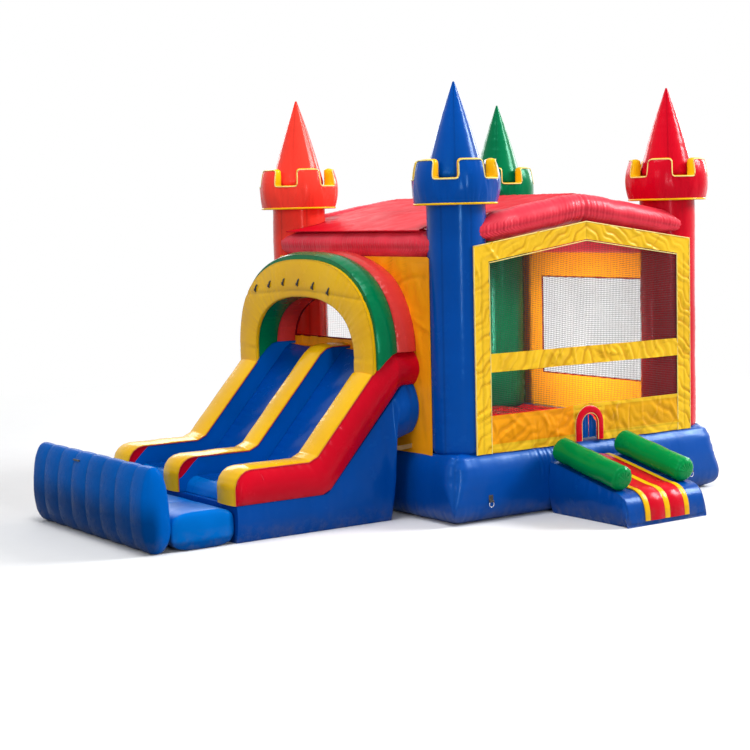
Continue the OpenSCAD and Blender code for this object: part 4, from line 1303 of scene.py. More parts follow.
def rail_height(x):
    """Height of the rails' tops under the arch."""
    return np.interp(x, *np.array(RAIL_TOP[8:]).T)


def nose_seam(x):
    """Height of the slanting seam that ends the red patch on each rail's nose."""
    return 0.53 + 0.85 * (x + 4.18)


def superarch(half, rise, turn):
    c, s = np.cos(turn), np.sin(turn)
    return (SLIDE_Y + half * np.sign(c) * np.abs(c) ** (2 / ARCH_POWER),
            ARCH_FOOT + rise * np.maximum(s, 0) ** (2 / ARCH_POWER))


def arch_line(sill):
    """The closed edge of the way to the slide, from the sill over the arch."""
    y, z = superarch(ARCH_HALF, ARCH_RISE, np.linspace(0, np.pi, 200))
    arch = spots(y, z)[z > sill]
    base = resampled([(arch[-1, 0], sill), (arch[0, 0], sill)], 0.03)
    return np.vstack([base, arch, base[:1]])


def boxed(under, top, near, far):
    """Rows of four corners along a lower and an upper line in X and Z, from near to far in Y."""
    return np.stack([
        spots(under[:, 0], near, under[:, 1]), spots(under[:, 0], far, under[:, 1]),
        spots(top[:, 0], far, top[:, 1]), spots(top[:, 0], near, top[:, 1])], 1)


class BOUNCE_OT_slide(bpy.types.Operator):
    """Blows up the slide's body, lanes and rails, with capped and piped rails"""

    bl_idname = "bounce.slide"
    bl_label = "Slide"

    def execute(self, context):
        self.body()
        for side in ("near", "far"):
            self.lane(side, *box(f"lane_{side}"))
        for number, side in enumerate(("near", "middle", "far")):
            self.rail(number, side, *box(f"rail_{side}"))
            self.cap(number, side, *box(f"rail_{side}"))
        return {"FINISHED"}

    def body(self):
        low, high = box("slide_toe")
        rear = box("slide_incline")[1]
        step, tuck = SHOULDER[0][0], 0.035
        x = np.concatenate([spaced(low[0] + 0.012, step - 0.04, 0.025),
                            spaced(step - 0.02, rear[0] - 0.012, 0.0125)])
        top = np.interp(x, (low[0], high[0], RAIL_UNDER[-2][0], rear[0]),
                        (high[2], high[2], rear[2], rear[2]))
        top = softened(top - 0.003, 4)
        foot = np.interp(x, *np.array(SHOULDER).T) * smooth((x - step + 0.03) / 0.05)
        corners = np.stack([
            spots(x, low[1] + tuck, foot), spots(x, high[1] - tuck, foot),
            spots(x, high[1], top), spots(x, low[1], top)], 1)
        # Belly of the two sides, fuller where the body is tall
        belly = 0.03 + 0.03 * smooth((top - 0.4) / 0.8) + 0.05 * smooth((x + 2.32) / 0.3)
        rows, seam, part = panels(corners, [0.0, belly, 0.0, belly], [10, 26, 10, 26])
        place = rows[..., 0]
        swell = (puckers(place, seam, 301, 1.3, 1.5, 1.8)
                 + 0.009 * ripple(place + 0.35 * rows[..., 2], 0.8, 303) * smooth(seam / 0.2))
        rows = grounded(pushed(rows, np.where(np.isin(part, (1, 3)), swell, 0)))
        rows, (seam,) = closed(rows, [near_seam(seam)], (0.0, 0.008), 4)
        placed(sewn("slide_body", rows, seam), ["slide_toe", "slide_incline"], "vinyl_blue", "blue",
               fill=0.95)

    def lane(self, side, low, high):
        top, under = matched(LANE_TOP, LANE_UNDER, 0.022)
        tall = np.linalg.norm(top - under, axis=1)
        corners = boxed(under, top, low[1] + 0.002, high[1] - 0.002)
        hollow = -0.016 * smooth(tall / 0.15)
        rows, seam, part = panels(corners, [0.0, 0.0, hollow, 0.0], [3, 3, 40, 3])
        place = np.broadcast_to(run(top)[:, None], rows.shape[:2])
        across = rows[..., 1] - (low[1] + high[1]) / 2
        swell = (puckers(place, seam, 311, 1.5, 1.3, 1.6)
                 + 0.006 * ripple(place + 0.8 * across, 0.45, 313))
        rows = pushed(rows, np.where(part == 2, swell * smooth(tall / 0.2)[:, None], 0))
        kind = np.zeros(rows.shape[:2], int)
        kind[top[:, 0] < -3.96] = 1  # The light foot
        kind[top[:, 0] > -1.978] = 2  # The orange sill at the house
        rows, (seam, kind) = closed(rows, [near_seam(seam), kind], 0.0, 2)
        placed(sewn(f"slide_lane_{side}", rows, seam, parts=kind), [f"lane_{side}"], "vinyl_blue",
               "blue", "light_blue", "orange", fill=0.9)

    def rail(self, number, side, low, high):
        top, under = matched(RAIL_TOP, RAIL_UNDER, 0.022)
        tall = np.linalg.norm(top - under, axis=1)
        swollen = smooth(tall / 0.3) * (1 + 0.9 * smooth((top[:, 0] + 2.5) / 0.5))
        flank, above = 22, 9  # Columns of a flank, and those of them above the nose's seam
        bulge = {outer: 0.055 * swollen if side == outer else 0.0 for outer in ("near", "far")}
        rows, seam, part = panels(boxed(under, top, low[1], high[1]),
                                  [0.0, bulge["far"], 0.0, bulge["near"]], [6, flank, 8, flank])
        place = np.broadcast_to(run(top)[:, None], rows.shape[:2])
        swell = puckers(place, seam, 321 + number, 0.6, 1.4, 0.9) * swollen[:, None]
        rows = pushed(rows, np.where(np.isin(part, (1, 3)), swell, 0))
        # The red patch on each nose ends along a straight slanting seam
        for edge, step in ((1, -1), (3, 1)):
            at = np.flatnonzero(part == edge)[::step]
            at = (at if step > 0 else np.append(at[0] + 1, at))[:flank]
            cloth = rows[:, at]
            down = run(cloth.transpose(1, 0, 2)).T
            drop = np.clip(cloth[:, 0, 2] - nose_seam(cloth[:, 0, 0]), 0.004, None)
            drop = np.where(top[:, 0] < NOSE_END, np.minimum(drop, 0.9 * down[:, -1]), 0)[:, None]
            moved = np.concatenate([
                np.linspace(0, 1, above) * drop,
                drop + np.linspace(0, 1, flank - above + 1)[1:] * (down[:, -1:] - drop)], 1)
            for k in np.flatnonzero(drop > 0):
                for axis in range(3):
                    rows[k, at, axis] = np.interp(moved[k], down[k], cloth[k, :, axis])
        red = {"near": 3, "middle": -1, "far": 1}[side]
        kind = np.broadcast_to((part == red).astype(int), rows.shape[:2]).copy()
        nose = (top[:, 0] < NOSE_END) & (top[:, 1] > nose_seam(top[:, 0]) + 0.004)
        for edge, columns in ((1, slice(1 - above, None)), (3, slice(0, above - 1))):
            kind[np.ix_(nose, np.flatnonzero(part == edge)[columns])] = 1
        rows, (seam, kind) = closed(rows, [near_seam(seam), kind], 0.0, 2)
        # Painted shade: the red past the shoulder is darkened, near the house
        shade = 0.8 * smooth((rows[..., 0] - SHOULDER[0][0]) / 0.03) * (kind > 0.5)
        placed(sewn(f"slide_rail_{side}", rows, seam, shade, parts=kind), [f"rail_{side}"],
               "vinyl_blue", "lane_blue", "red", fill=0.95)

    def cap(self, number, side, low, high):
        arch_x = box("arch_face")[0][0]
        line = resampled(RAIL_TOP, 0.02)
        line = line if side == "middle" else line[line[:, 0] <= arch_x + 0.001]
        along = unit(np.gradient(softened(line, 3), axis=0))
        lift = line + spots(-along[:, 1], along[:, 0]) * 0.009
        corners = boxed(line, lift, low[1] - 0.005, high[1] + 0.005)
        rows, seam, part = panels(corners, [0.0, 0.003, 0.02, 0.003], [4, 3, 24, 3])
        place = np.broadcast_to(run(line)[:, None], rows.shape[:2])
        swell = puckers(place, seam, 331 + number, 0.5, 1.2) + 0.003 * ripple(place, 0.5, 333 + number)
        rows = pushed(rows, np.where(part == 2, swell, 0))
        rows, (seam,) = closed(rows, [near_seam(seam)], 0.0, 2)
        placed(sewn(f"rail_cap_{side}", rows, seam), ["rail_caps"], "vinyl_yellow", "gold", fill=0.8)
        edges = [corded("edge", spots(line[:, 0], y, line[:, 1]), sizes().piping)
                 for y in (low[1] - 0.003, high[1] + 0.003)]
        placed(joined(f"rail_piping_{side}", edges), [], "vinyl_red", "red_piping")


class BOUNCE_OT_arch(bpy.types.Operator):
    """Blows up the arch over the slide's top: gold face, green and red barrels, dark hose ties"""

    bl_idname = "bounce.arch"
    bl_label = "Slide arch"

    def execute(self, context):
        self.ring("gold_arch_face", "arch_face", 0.0, 0.012, 0.006, "vinyl_yellow", "gold", 401)
        self.ring("green_arch_barrel", "arch_green", 0.034, 0.0, 0.02, "vinyl_green", "green", 411)
        self.ring("red_arch_barrel", "arch_red", 0.034, 0.0, 0.02, "vinyl_red", "barrel_red", 421)
        self.ties()
        return {"FINISHED"}

    def ring(self, name, node, crown, front, hollow, slot, finish, seed):
        """One ring of the arch, with the bulges of its crown, front and hollow."""
        low, high = box(node)
        green_low, green_high = box("arch_green")
        wide = green_high[1] - green_low[1] if node == "arch_red" else high[1] - low[1]
        turn = np.linspace(np.pi, 0, 150)
        drop = np.linspace(0.16, 0.015, 10)
        lines = []
        for half, rise in ((ARCH_HALF, ARCH_RISE), (wide / 2, high[2] - ARCH_FOOT)):
            y, z = superarch(half, rise, turn)
            lines.append(np.concatenate([
                spots(y[0], ARCH_FOOT - drop), spots(y, z), spots(y[-1], ARCH_FOOT - drop[::-1])]))
        inner, outer = lines
        near, far = low[0] + 0.001, high[0] - 0.001
        corners = np.stack([np.insert(line, 0, x, 1) for line, x in (
            (inner, near), (inner, far), (outer, far), (outer, near))], 1)
        rows, seam, part = panels(corners, [hollow, 0.0, crown, front], [14, 12, 18, 24])
        place = np.broadcast_to(run((inner + outer) / 2)[:, None], rows.shape[:2])
        swell = puckers(place, seam, seed, 1.0, 1.0, 1.1) + 0.003 * ripple(place, 0.6, seed + 1)
        line = near_seam(seam)
        if node == "arch_face":
            # One seam runs over the arch below the ties and one along its feet
            level, hump = 2.445, 0.035
            off = rows[..., 2] - level - hump * np.cos((rows[..., 1] - SLIDE_Y) * 2.2)
            off, foot = np.abs(off), np.abs(rows[..., 2] - ARCH_FOOT - 0.02)
            swell = swell + puckers(rows[..., 1], off, seed + 3, 0.9, 0.7, 0.7)
            for away in (off, foot):
                swell = swell + valley(away, 0.8, 0.02)
                line = np.maximum(line, near_seam(away, 0.011))
        rows = pushed(rows, np.where(part != 1, swell, 0))
        rows[..., 2] = np.maximum(rows[..., 2], rail_height(rows[..., 0]) + 0.002)
        rows, (line,) = closed(rows, [line], 0.0, 3)
        placed(sewn(name, rows, line), [node], slot, finish, fill=0.95)

    def ties(self):
        low, high = box("arch_hose_ties")
        count, margin, end_z, hump, straps = 6, 0.023, 2.48, 0.09, []
        tape = ((0.008, -0.018, 0.044), (-0.004, -0.008, 0.026), (-0.006, 0, 0),
                (-0.005, 0.01, -0.024), (0.008, 0.014, -0.036))
        knot = ((0, 0.014, -0.018), (-0.007, 0.028, -0.022), (-0.003, 0.032, -0.008), (0.004, 0.022, 0))
        for t in np.arange(count) / (count - 1):
            at = (low[0] - 0.006, low[1] + margin + (high[1] - low[1] - 2 * margin) * t,
                  end_z + hump * math.sin(math.pi * t))
            straps.append(corded("tape", np.array(tape) + at, 0.0095))
            straps.append(corded("knot", np.array(knot) + at, 0.008))
        placed(joined("hose_ties", straps), ["arch_hose_ties"], "webbing_dark", "dark")


class BOUNCE_OT_landing(bpy.types.Operator):
    """Blows up the landing pad and its ribbed end bumper"""

    bl_idname = "bounce.landing"
    bl_label = "Landing"

    def execute(self, context):
        self.pad()
        self.bumper()
        return {"FINISHED"}

    def pad(self):
        low, high = box("landing_pad")
        middle, half = (low + high) / 2, (high - low) / 2
        panel, bulge = 0.69, 0.06
        c, s = rounded(72, 3.6)
        y = spaced(low[1] + bulge, high[1] - bulge, 0.025)
        rows = spots(middle[0] + half[0] * 0.995 * c, y[:, None], middle[2] + half[2] * s)
        girth = np.broadcast_to(run(spots(half[0] * c, half[2] * s)), rows.shape[:2])
        top = np.broadcast_to(s > 0.3, rows.shape[:2])
        joint = (panel / 2 - np.abs((y - low[1]) % panel - panel / 2))[:, None] + 0 * girth
        swell = (valley(joint, 1.2, 0.03) * top + puckers(girth, joint, 431, 1.2, 1.3)
                 + 0.005 * ripple(rows[..., 1] + 0.4 * girth, 0.6, 433))
        rows = grounded(pushed(rows, swell))
        rows, (seam,) = closed(rows, [near_seam(joint, 0.012) * top], bulge, 8)
        # Painted shade: a dark band along the pad's bottom
        painted_low_shade = smooth((0.32 * high[2] - rows[..., 2]) / 0.05)
        placed(sewn("landing_mattress", rows, seam, painted_low_shade), ["landing_pad"], "vinyl_light_blue",
               "light_blue", fill=0.95)

    def bumper(self):
        low, high = box("landing_bumper")
        middle, half = (low + high) / 2, (high - low) / 2
        ribs, bulge, crease = 8, 0.09, 0.015
        c, s = rounded(80, 2.3)
        y = spaced(low[1] + bulge, high[1] - bulge, 0.0125)
        share = (y - low[1]) / (high[1] - low[1]) * ribs
        drawn = (crease * (1 - np.abs(np.sin(np.pi * share)) ** 0.65))[:, None]
        flare = 0.3 * np.exp(-((y - low[1]) / 0.2))[:, None] * smooth((-s - 0.1) / 0.6) * (c > 0)
        rows = spots(middle[0] + (half[0] - drawn) * c * (0.98 - 0.1 * s + flare), y[:, None],
                     middle[2] + (half[2] - drawn * 0.7) * s)
        girth = np.broadcast_to(run(spots(half[0] * c, half[2] * s)), rows.shape[:2])
        edge = (np.minimum(share % 1, 1 - share % 1) * (high[1] - low[1]) / ribs)[:, None] + 0 * girth
        swell = (puckers(girth, edge, 441, 0.6, 1.6, 0.8)
                 + 0.003 * ripple(girth + 0.3 * rows[..., 1], 0.5, 443))
        rows = grounded(pushed(rows, swell))
        rows, (seam,) = closed(rows, [near_seam(edge, 0.008) * 0.7], bulge, 10, 2.2)
        # Painted shade: the lower half of the bumper's outer face darkens
        painted_low_shade = (smooth(1.6 - 2.1 * rows[..., 2] / high[2])
                * smooth(0.5 + (middle[0] - rows[..., 0]) / half[0]))
        placed(sewn("landing_end_bumper", rows, seam, painted_low_shade), ["landing_bumper"], "vinyl_blue",
               "bumper_blue", fill=0.95)
        vent_out, vent_y, vent_half, vent_up = 0.61, 0.45, 0.075, 0.8
        vent = spots(middle[0] - vent_out * half[0], vent_y + vent_half * np.linspace(-1, 1, 13),
                     middle[2] + vent_up * half[2])
        placed(corded("bumper_vent", vent, 0.011), [], "webbing_dark", "dark")


RAMP_FRONT = 0.31  # Height to which the ramp's slope falls over its front


class BOUNCE_OT_ramp(bpy.types.Operator):
    """Blows up the entrance ramp, its striped tread and its two bolsters"""

    bl_idname = "bounce.ramp"
    bl_label = "Entrance ramp"

    def execute(self, context):
        self.wedge()
        self.tread()
        self.bolsters()
        return {"FINISHED"}

    def profile(self):
        """The ramp's top line in Y and Z, from the base down over its rounded nose."""
        low, high = box("ramp_body")
        flat, nose, power, tip_z = 0.035, 0.24, 2.5, 0.05
        y = low[1] + nose
        z = RAMP_FRONT + (high[2] - RAMP_FRONT) / (high[1] - flat - low[1]) * nose
        slope = resampled([(high[1] - 0.004, high[2]), (high[1] - flat, high[2]), (y, z)], 0.022)
        turn = np.linspace(0, np.pi / 2, 22)[1:]
        tip = spots(y - (nose + 0.03) * np.sin(turn) ** (2 / power),
                    tip_z + (z - tip_z) * np.cos(turn) ** (2 / power))
        return softened(np.vstack([slope, tip]), 4)

    def wedge(self):
        low, high = box("ramp_body")
        y, top = (self.profile() - (0, 0.002)).T
        tuck = 0.03
        corners = np.stack([
            spots(low[0] + tuck, y, 0), spots(high[0] - tuck, y, 0),
            spots(high[0], y, top), spots(low[0], y, top)], 1)
        rows, seam, part = panels(corners, [0.0, 0.04, 0.0, 0.04], [10, 18, 26, 18])
        place = rows[..., 1]
        swell = (puckers(place, seam, 451, 1.4, 1.0, 1.3)
                 + 0.006 * ripple(place + 0.5 * rows[..., 2], 0.5, 453))
        rows = grounded(pushed(rows, np.where(np.isin(part, (1, 3)), swell, 0)))
        rows, (seam,) = closed(rows, [near_seam(seam)], (0.0, 0.004), 3)
        placed(sewn("ramp_wedge", grounded(rows), seam), ["ramp_body"], "vinyl_blue", "blue", fill=0.95)

    def tread(self):
        low, high = box("ramp_tread")
        line = self.profile()
        along = unit(np.gradient(line, axis=0))
        out = spots(along[:, 1], -along[:, 0])
        out = out if out[0, 1] > 0 else -out
        wide, strip, mid_strip = high[0] - low[0], 0.07, 0.075
        marks = [0, strip, wide / 2 - mid_strip / 2, wide / 2 + mid_strip / 2, wide - strip, wide]
        columns = []
        for k, (a, b) in enumerate(zip(marks[:-1], marks[1:])):
            gold = k % 2 == 0
            count, puff = (6, 0.004) if gold else (12, 0.012)
            for t in np.arange(count) / count:
                columns.append((low[0] + a + (b - a) * t, gold, puff * 4 * t * (1 - t),
                                min(t, 1 - t) * (b - a)))
        across, kind, puff, edge = np.array(columns + [(high[0], True, 0, 0)], float).T
        place, kind, edge = np.broadcast_arrays(run(line)[:, None], kind, edge)
        lift = 0.010 + puff + puckers(place, edge, 461, 0.8, 0.8, 0.6)

        def skin(height):
            y, z = line.T[..., None] + out.T[..., None] * height
            return spots(across, y, z)

        seam = near_seam(edge, 0.006)
        rows, (seam, kind) = closed(wrapped(skin(lift), skin(0.0015)),
                                    [wrapped(seam, 0 * seam), wrapped(kind, kind)], 0.0, 2)
        placed(sewn("ramp_striped_tread", rows, seam, parts=kind, angle=60), ["ramp_tread"],
               "vinyl_red", "red", "gold", fill=0.7)

    def bolsters(self):
        low, high = box("ramp_bolsters")
        ramp_low, ramp_high = box("ramp_body")
        flat, radius, rim, reach = 0.06, 0.135, 0.06, 0.525
        slope = math.atan2(ramp_high[2] - RAMP_FRONT, ramp_high[1] - flat - ramp_low[1])
        turn = np.linspace(0, 2 * np.pi, 65)
        quarter = np.linspace(0, np.pi / 2, 9)
        disc = np.array((0.06, 0.04, 0.02, 0.0005))
        half = np.vstack([
            spots(spaced(0, reach - rim, 0.022)[:-1], radius),
            spots(reach - rim + rim * np.sin(quarter), radius - rim + rim * np.cos(quarter)),
            spots(reach + 0.006 * (1 - disc / 0.075), disc)])
        # Places along the roll and the roll's radius there
        a, r = np.concatenate([half[::-1] * (-1, 1), half[1:]]).T[..., None]
        place = np.abs(a) + 0 * turn
        girth = radius * turn + 0 * a
        off = np.abs(place - reach + rim * 0.35)
        lengthwise = np.abs(girth - radius * 0.9)
        seam = np.maximum(near_seam(off, 0.006), near_seam(lengthwise, 0.006)) * (r > 0.05)
        middle = (low + high) / 2
        for sign, side in ((-1, "left"), (1, "right")):
            x = middle[0] + sign * ((high[0] - low[0]) / 2 - radius)
            rows = spots(x + r * np.cos(turn),
                         middle[1] + math.cos(slope) * a - math.sin(slope) * r * np.sin(turn),
                         middle[2] + math.sin(slope) * a + math.cos(slope) * r * np.sin(turn))
            swell = (puckers(girth, off, 471 + sign, 1.0, 0.7, 0.8) + valley(off, 0.5, 0.01)
                     + valley(lengthwise, 0.5, 0.012) + 0.003 * ripple(place + girth, 0.4, 473))
            rows = pushed(rows, swell * smooth(r / 0.08))
            placed(sewn(f"ramp_bolster_{side}", rows, seam), ["ramp_bolsters"], "vinyl_green",
                   "bolster_green", fill=1.0)


# Inside and on the base


class BOUNCE_OT_climb(bpy.types.Operator):
    """Blows up the climbing wall inside the house, with its step rolls"""

    bl_idname = "bounce.climb"
    bl_label = "Climbing wall"

    def execute(self, context):
        self.slope()
        self.rolls()
        return {"FINISHED"}

    def slope(self):
        low, high = box("climb_wall")
        head, bulge = low[0] + 0.39, 0.03
        y = spaced(low[1] + bulge, high[1] - bulge, 0.03)
        corners = np.stack([
            spots(low[0], y, low[2]), spots(high[0], y, low[2]),
            spots(head, y, high[2]), spots(low[0], y, high[2])], 1)
        rows, seam, part = panels(corners, [0.0, 0.0, 0.015, 0.0], [8, 30, 8, 10])
        swell = np.minimum(puckers(rows[..., 1], seam, 501), 0)
        rows = pushed(rows, np.where(part == 1, swell, 0))
        rows, (seam,) = closed(rows, [near_seam(seam)], bulge, 6)
        placed(sewn("climb_slope", rows, seam), ["climb_wall"], "vinyl_blue", "blue", fill=0.95)

    def rolls(self):
        low, high = box("climb_steps")
        count, radius, bulge = 4, 0.055, 0.02
        turn = np.linspace(0, 2 * np.pi, 33)
        y = spaced(low[1] + bulge, high[1] - bulge, 0.02)[:, None]
        off = np.minimum(y - y[0], y[-1] - y) + 0 * turn
        rolls = []
        for k, t in enumerate(np.linspace(0, 1, count)):
            x = high[0] - radius - (high[0] - low[0] - 2 * radius) * t
            z = low[2] + radius + (high[2] - low[2] - 2 * radius) * t
            rows = spots(x + radius * np.cos(turn), y, z + radius * np.sin(turn))
            swell = np.minimum(puckers(radius * turn + 0 * off, off, 511 + k, 1.0, 0.5), 0)
            rows, (seam,) = closed(pushed(rows, swell), [near_seam(off)], bulge, 6)
            rolls.append(sewn("roll", rows, seam))
        placed(joined("climb_rolls", rolls), ["climb_steps"], "vinyl_orange", "orange", fill=1.0)


class BOUNCE_OT_fittings(bpy.types.Operator):
    """Sews on the tie strap, blower sleeve, deflation zip and anchor tabs"""

    bl_idname = "bounce.fittings"
    bl_label = "Straps, sleeve, zip and anchors"

    def execute(self, context):
        self.strap()
        self.sleeve()
        self.zip_tape()
        self.zip_pull()
        for corner in TURRETS:
            self.anchor(corner, 1 if corner.startswith("back") else -1)
        return {"FINISHED"}

    def webbing(self, name, line, across, thick):
        """A flat strap along a line of points, as wide as the vector across."""
        side = np.array(across, float)
        out = unit(np.cross(unit(np.gradient(line, axis=0)), unit(side)))[:, None]
        t = np.array((-1, -0.94, -0.5, 0, 0.5, 0.94, 1))[:, None]
        ridge = thick / 2 * np.array((0.5, 1, 0.9, 0.9, 0.9, 1, 0.5))[:, None]
        flat = line[:, None] + side * t / 2
        rows, _ = closed(wrapped(flat + out * ridge, flat - out * ridge), [], 0.0, 1)
        return sewn(name, rows, angle=40)

    def strap(self):
        low, high = box("tie_strap")
        x = spaced(low[0] - 0.01, high[0] + 0.004, 0.012)
        sag = 0.012 * np.sin(np.pi * (x - x[0]) / (x[-1] - x[0]))
        line = spots(x, (low[1] + high[1]) / 2, (low[2] + high[2]) / 2 - sag)
        strap = self.webbing("slide_tie_strap", line, (0, 0, high[2] - low[2]), high[1] - low[1])
        placed(strap, ["tie_strap"], "webbing_tan", "tan")

    def sleeve(self):
        low, high = box("blower_sleeve")
        x, _, z = (low + high) / 2
        outer, wall, tie = (high[0] - low[0]) / 2, 0.008, low[1] + 0.13
        turn = np.linspace(0, 2 * np.pi, 73)
        y = spaced(low[1], high[1], 0.012)[:, None]
        waist = np.exp(-(((y - tie) / 0.05) ** 2))
        hem = np.exp(-(((y - high[1] + 0.03) / 0.006) ** 2))
        radius = outer - 0.004 - 0.016 * waist - 0.003 * hem + 0.006 * waist * np.cos(18 * turn)
        radius = radius + puckers(outer * turn + 0 * y, y - low[1] + 0 * turn, 521, 1.0, 0.8)
        radius = np.minimum(radius, outer)
        radius[:, -1] = radius[:, 0]

        def ring(r, at=y):
            return spots(x + r * np.cos(turn), at, z + r * np.sin(turn))

        rows = np.concatenate([ring(radius), ring(radius - wall)[::-1], ring(radius)[:1]])
        seam = np.concatenate([hem, hem[::-1], hem[:1]]) + 0 * turn
        sleeve = placed(sewn("blower_sleeve_tube", rows, seam), ["blower_sleeve"], "vinyl_blue", "blue")
        placed(corded("sleeve_tie", ring(outer - 0.012, tie), 0.007, True), [], "webbing_dark", "dark")

    def zip_tape(self):
        low, high = box("deflation_zip")
        middle = (low + high) / 2
        tape = self.webbing("zip_tape", spots(spaced(low[0], high[0], 0.004), *middle[1:]),
                            (0, 0, high[2] - low[2]), high[1] - low[1])
        x = np.arange(low[0] + 0.012, high[0] - 0.012, 0.0015)
        tooth = np.where((np.arange(len(x)) // 2) % 2 == 0, 0.0022, 0.0008)
        half = 0.0045
        coil = [spots(x, high[1] + up, middle[2] + half * share) for share, up in (
            (-1, 0), (-0.6, tooth), (0.6, tooth), (1, 0), (1, -0.001), (-1, -0.001))]
        rows, _ = closed(np.stack(coil + coil[:1], 1), [], 0.0, 1)
        teeth = sewn("zip_teeth", rows, angle=30)
        placed(joined("deflation_zip_tape", [tape, teeth]), ["deflation_zip"], "webbing_dark", "dark")

    def zip_pull(self):
        low, high = box("zip_slider")
        middle, half = (low + high) / 2, (high - low) / 2
        c, s = rounded(24, 3.2)
        t = np.linspace(-1, 1, 15)[:, None]
        rows = spots(middle[0] + half[0] * (0.5 * t - 0.45),
                     middle[1] + half[1] * (0.72 + 0.2 * np.cos(t * 2.2)) * c,
                     middle[2] + half[2] * (0.62 + 0.38 * np.abs(t) ** 0.8) * s)
        body = sewn("slider_body", closed(rows, [], 0.002, 4)[0])
        t = np.linspace(0, 1, 14)[:, None]
        rows = spots(middle[0] + half[0] * (0.02 + 0.9 * t), middle[1] + 0.0024 + 0.0011 * c,
                     middle[2] + (0.0045 + 0.002 * np.sin(np.pi * t)) * s)
        tab = sewn("slider_tab", closed(rows, [], 0.002, 3)[0])
        placed(joined("zip_slider_pull", [body, tab]), ["zip_slider"], "steel", "steel",
               body="zip_slider")

    def anchor(self, corner, sign):
        tabs = box("anchor_tabs")[1]
        ring_low, ring_high = box(f"anchor_ring_{corner}")
        x = (ring_low[0] + ring_high[0]) / 2
        loop_y, loop_z = abs(ring_low[1] + ring_high[1]) / 2, ring_high[2] - 0.004
        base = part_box("base_tubes")[1].y
        tab_inner, reach, thick = 1.47, 0.0091, 0.0028
        turn = np.radians(np.linspace(165, 470, 26))
        line = np.vstack([
            spots(x, base + 0.0016, np.linspace(tabs[2], loop_z + 0.014, 9)),
            spots(x, loop_y + reach * np.cos(turn), loop_z + reach * np.sin(turn))]) * (1, sign, 1)
        tab = self.webbing(f"anchor_tab_{corner}", line, (tabs[0] - tab_inner, 0, 0), thick)
        side, foot, head = 0.024, loop_z + 0.024, tabs[2] - 0.008
        threads = []
        for across, height in (((-side, side), (head, head)), ((-side, side), (foot, foot)),
                               ((-side, -side), (foot, head)), ((side, side), (foot, head))):
            row = spots(x + np.linspace(*across, 9), sign * (base + 0.0034), np.linspace(*height, 9))
            threads.append(corded("thread", row, 0.0009, around=5))
        placed(tab, ["anchor_tabs"], "webbing_dark", "dark")
        placed(joined(f"anchor_stitching_{corner}", threads), [], "webbing_tan", "tan")
        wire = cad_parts[f"anchor_ring_{corner}"]
        wire.data.materials.clear()
        wire.data.materials.append(FINISHES["steel"]())


# Studio


CAMERA_LENS = 80.61
CAMERA_PLACE = (-12.6309, -15.9039, 3.3383)
CAMERA_TURN = (34.785, 5.527, -1.366)  # Yaw, pitch and roll in degrees
SKY = 0.34
# Name, place, aim, size, power and spread of each lamp
LAMPS = (
    ("key_softbox", (15, -9, 13), (-1, 0, 1.5), (7, 7), 4400, 180),
    ("strip_softbox", (-7.5, -17, 4.6), (-1, 0, 2.0), (1.8, 7), 720, 180),
    ("fill_softbox", (-17, -7, 9), (-2, 0, 1.5), (7, 5), 500, 180),
    ("top_softbox", (-5, -2, 15), (-2, 0, 1), (6, 6), 1150, 180),
    ("rim_softbox", (17, 4.5, 8), (0, 0, 2), (6, 6), 900, 180),
    ("back_softbox", (3, 16, 9), (0, 0, 1.5), (9, 6), 700, 180),
    ("inside_softbox", (-1.1, 0.12, 1.72), (1.9, 0.12, 1.6), (1.6, 1.0), 45, 58),
)


def aimed(right, up, back, place):
    """The stand of a lamp or camera, from its three axes and its place."""
    return Matrix([*spots(right, up, back, place).tolist(), (0, 0, 0, 1)])


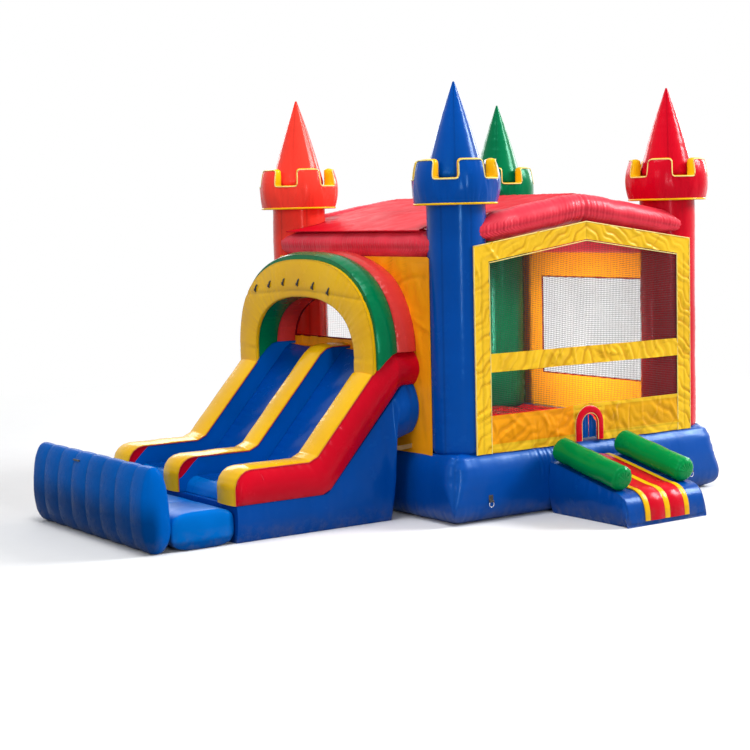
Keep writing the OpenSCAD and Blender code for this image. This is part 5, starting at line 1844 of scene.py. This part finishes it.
class BOUNCE_OT_stage(bpy.types.Operator):
    """Lays the pale floor, hangs the soft lamps and sets the camera"""

    bl_idname = "bounce.stage"
    bl_label = "Studio and camera"

    def execute(self, context):
        scene = context.scene
        scene.view_settings.view_transform = "Standard"
        self.ground()
        self.light(scene)
        self.lamps(scene)
        self.camera(scene)
        return {"FINISHED"}

    def ground(self):
        bpy.ops.object.select_all(action="DESELECT")
        bpy.ops.mesh.primitive_plane_add(size=160, location=(0, 0, 0))
        ground = bpy.context.object
        bpy.ops.object.transform_apply(location=True, rotation=True, scale=True)
        ground.name = ground.data.name = "studio_ground"
        ground.data.materials.append(studio_floor())

    def light(self, scene):
        """White where it is plainly seen, and a dim sky for all other rays."""
        scene.world = bpy.data.worlds.new("studio_light")
        scene.world.use_nodes = True
        tree = scene.world.node_tree
        seen, fill = tree.nodes["Background"], tree.nodes.new("ShaderNodeBackground")
        for light, tint, strength in ((seen, (1, 1, 1, 1), 1.0), (fill, (0.93, 0.96, 1.0, 1), SKY)):
            light.inputs["Color"].default_value = tint
            light.inputs["Strength"].default_value = strength
        mix = tree.nodes.new("ShaderNodeMixShader")
        for source, socket in zip((plainly_seen(tree), fill.outputs[0], seen.outputs[0]), mix.inputs):
            tree.links.new(source, socket)
        tree.links.new(mix.outputs[0], tree.nodes["World Output"].inputs["Surface"])

    def lamps(self, scene):
        for name, place, aim, size, power, spread in LAMPS:
            lamp = bpy.data.lights.new(name, "AREA")
            lamp.shape = "RECTANGLE"
            lamp.size, lamp.size_y = size
            lamp.energy = power
            lamp.spread = math.radians(spread)
            holder = bpy.data.objects.new(name, lamp)
            scene.collection.objects.link(holder)
            holder.visible_camera = False
            back = unit(np.subtract(place, aim))
            right = unit(np.cross((0, 0, 1), back))
            holder.matrix_world = aimed(right, np.cross(back, right), back, place)

    def camera(self, scene):
        lens = bpy.data.cameras.new("photo_camera")
        lens.sensor_width, lens.lens = 36, CAMERA_LENS
        lens.clip_end = 400
        camera = bpy.data.objects.new("photo_camera", lens)
        scene.collection.objects.link(camera)
        yaw, pitch, roll = np.radians(CAMERA_TURN)
        level = np.array((np.cos(yaw), -np.sin(yaw), 0))
        ahead = np.array((np.sin(yaw) * np.cos(pitch), np.cos(yaw) * np.cos(pitch), -np.sin(pitch)))
        upright = np.cross(level, ahead)
        right = np.cos(roll) * level + np.sin(roll) * upright
        up = np.cos(roll) * upright - np.sin(roll) * level
        camera.matrix_world = aimed(right, up, -ahead, CAMERA_PLACE)
        scene.camera = camera


class BOUNCE_PT_house(bpy.types.Panel):
    """Steps and settings of the bounce house"""

    bl_idname = "BOUNCE_PT_house"
    bl_label = "Bounce house"
    bl_space_type = "VIEW_3D"
    bl_region_type = "UI"
    bl_category = "Bounce house"

    def draw(self, context):
        for step in STEPS:
            self.layout.operator(step.bl_idname)
        for group in (context.scene.bounce_sizes, context.scene.bounce_colours):
            shelf = self.layout.box()
            for key in group.bl_rna.properties.keys():
                if key not in ("rna_type", "name"):
                    shelf.prop(group, key)


STEPS = (
    BOUNCE_OT_base,
    BOUNCE_OT_floor,
    BOUNCE_OT_columns,
    BOUNCE_OT_crowns,
    BOUNCE_OT_spires,
    BOUNCE_OT_beams,
    BOUNCE_OT_roof,
    BOUNCE_OT_front,
    BOUNCE_OT_doorway,
    BOUNCE_OT_walls,
    BOUNCE_OT_nets,
    BOUNCE_OT_slide,
    BOUNCE_OT_arch,
    BOUNCE_OT_landing,
    BOUNCE_OT_ramp,
    BOUNCE_OT_climb,
    BOUNCE_OT_fittings,
    BOUNCE_OT_stage,
)
CLASSES = (HouseColours, HouseSizes, *STEPS, BOUNCE_PT_house)


def register():
    for kind in CLASSES:
        bpy.utils.register_class(kind)
    bpy.types.Scene.bounce_colours = PointerProperty(type=HouseColours)
    bpy.types.Scene.bounce_sizes = PointerProperty(type=HouseSizes)


def unregister():
    del bpy.types.Scene.bounce_colours
    del bpy.types.Scene.bounce_sizes
    for kind in reversed(CLASSES):
        bpy.utils.unregister_class(kind)


def main():
    register()
    for step in STEPS:
        group, name = step.bl_idname.split(".")
        getattr(getattr(bpy.ops, group), name)()


if __name__ == "__main__":
    main()
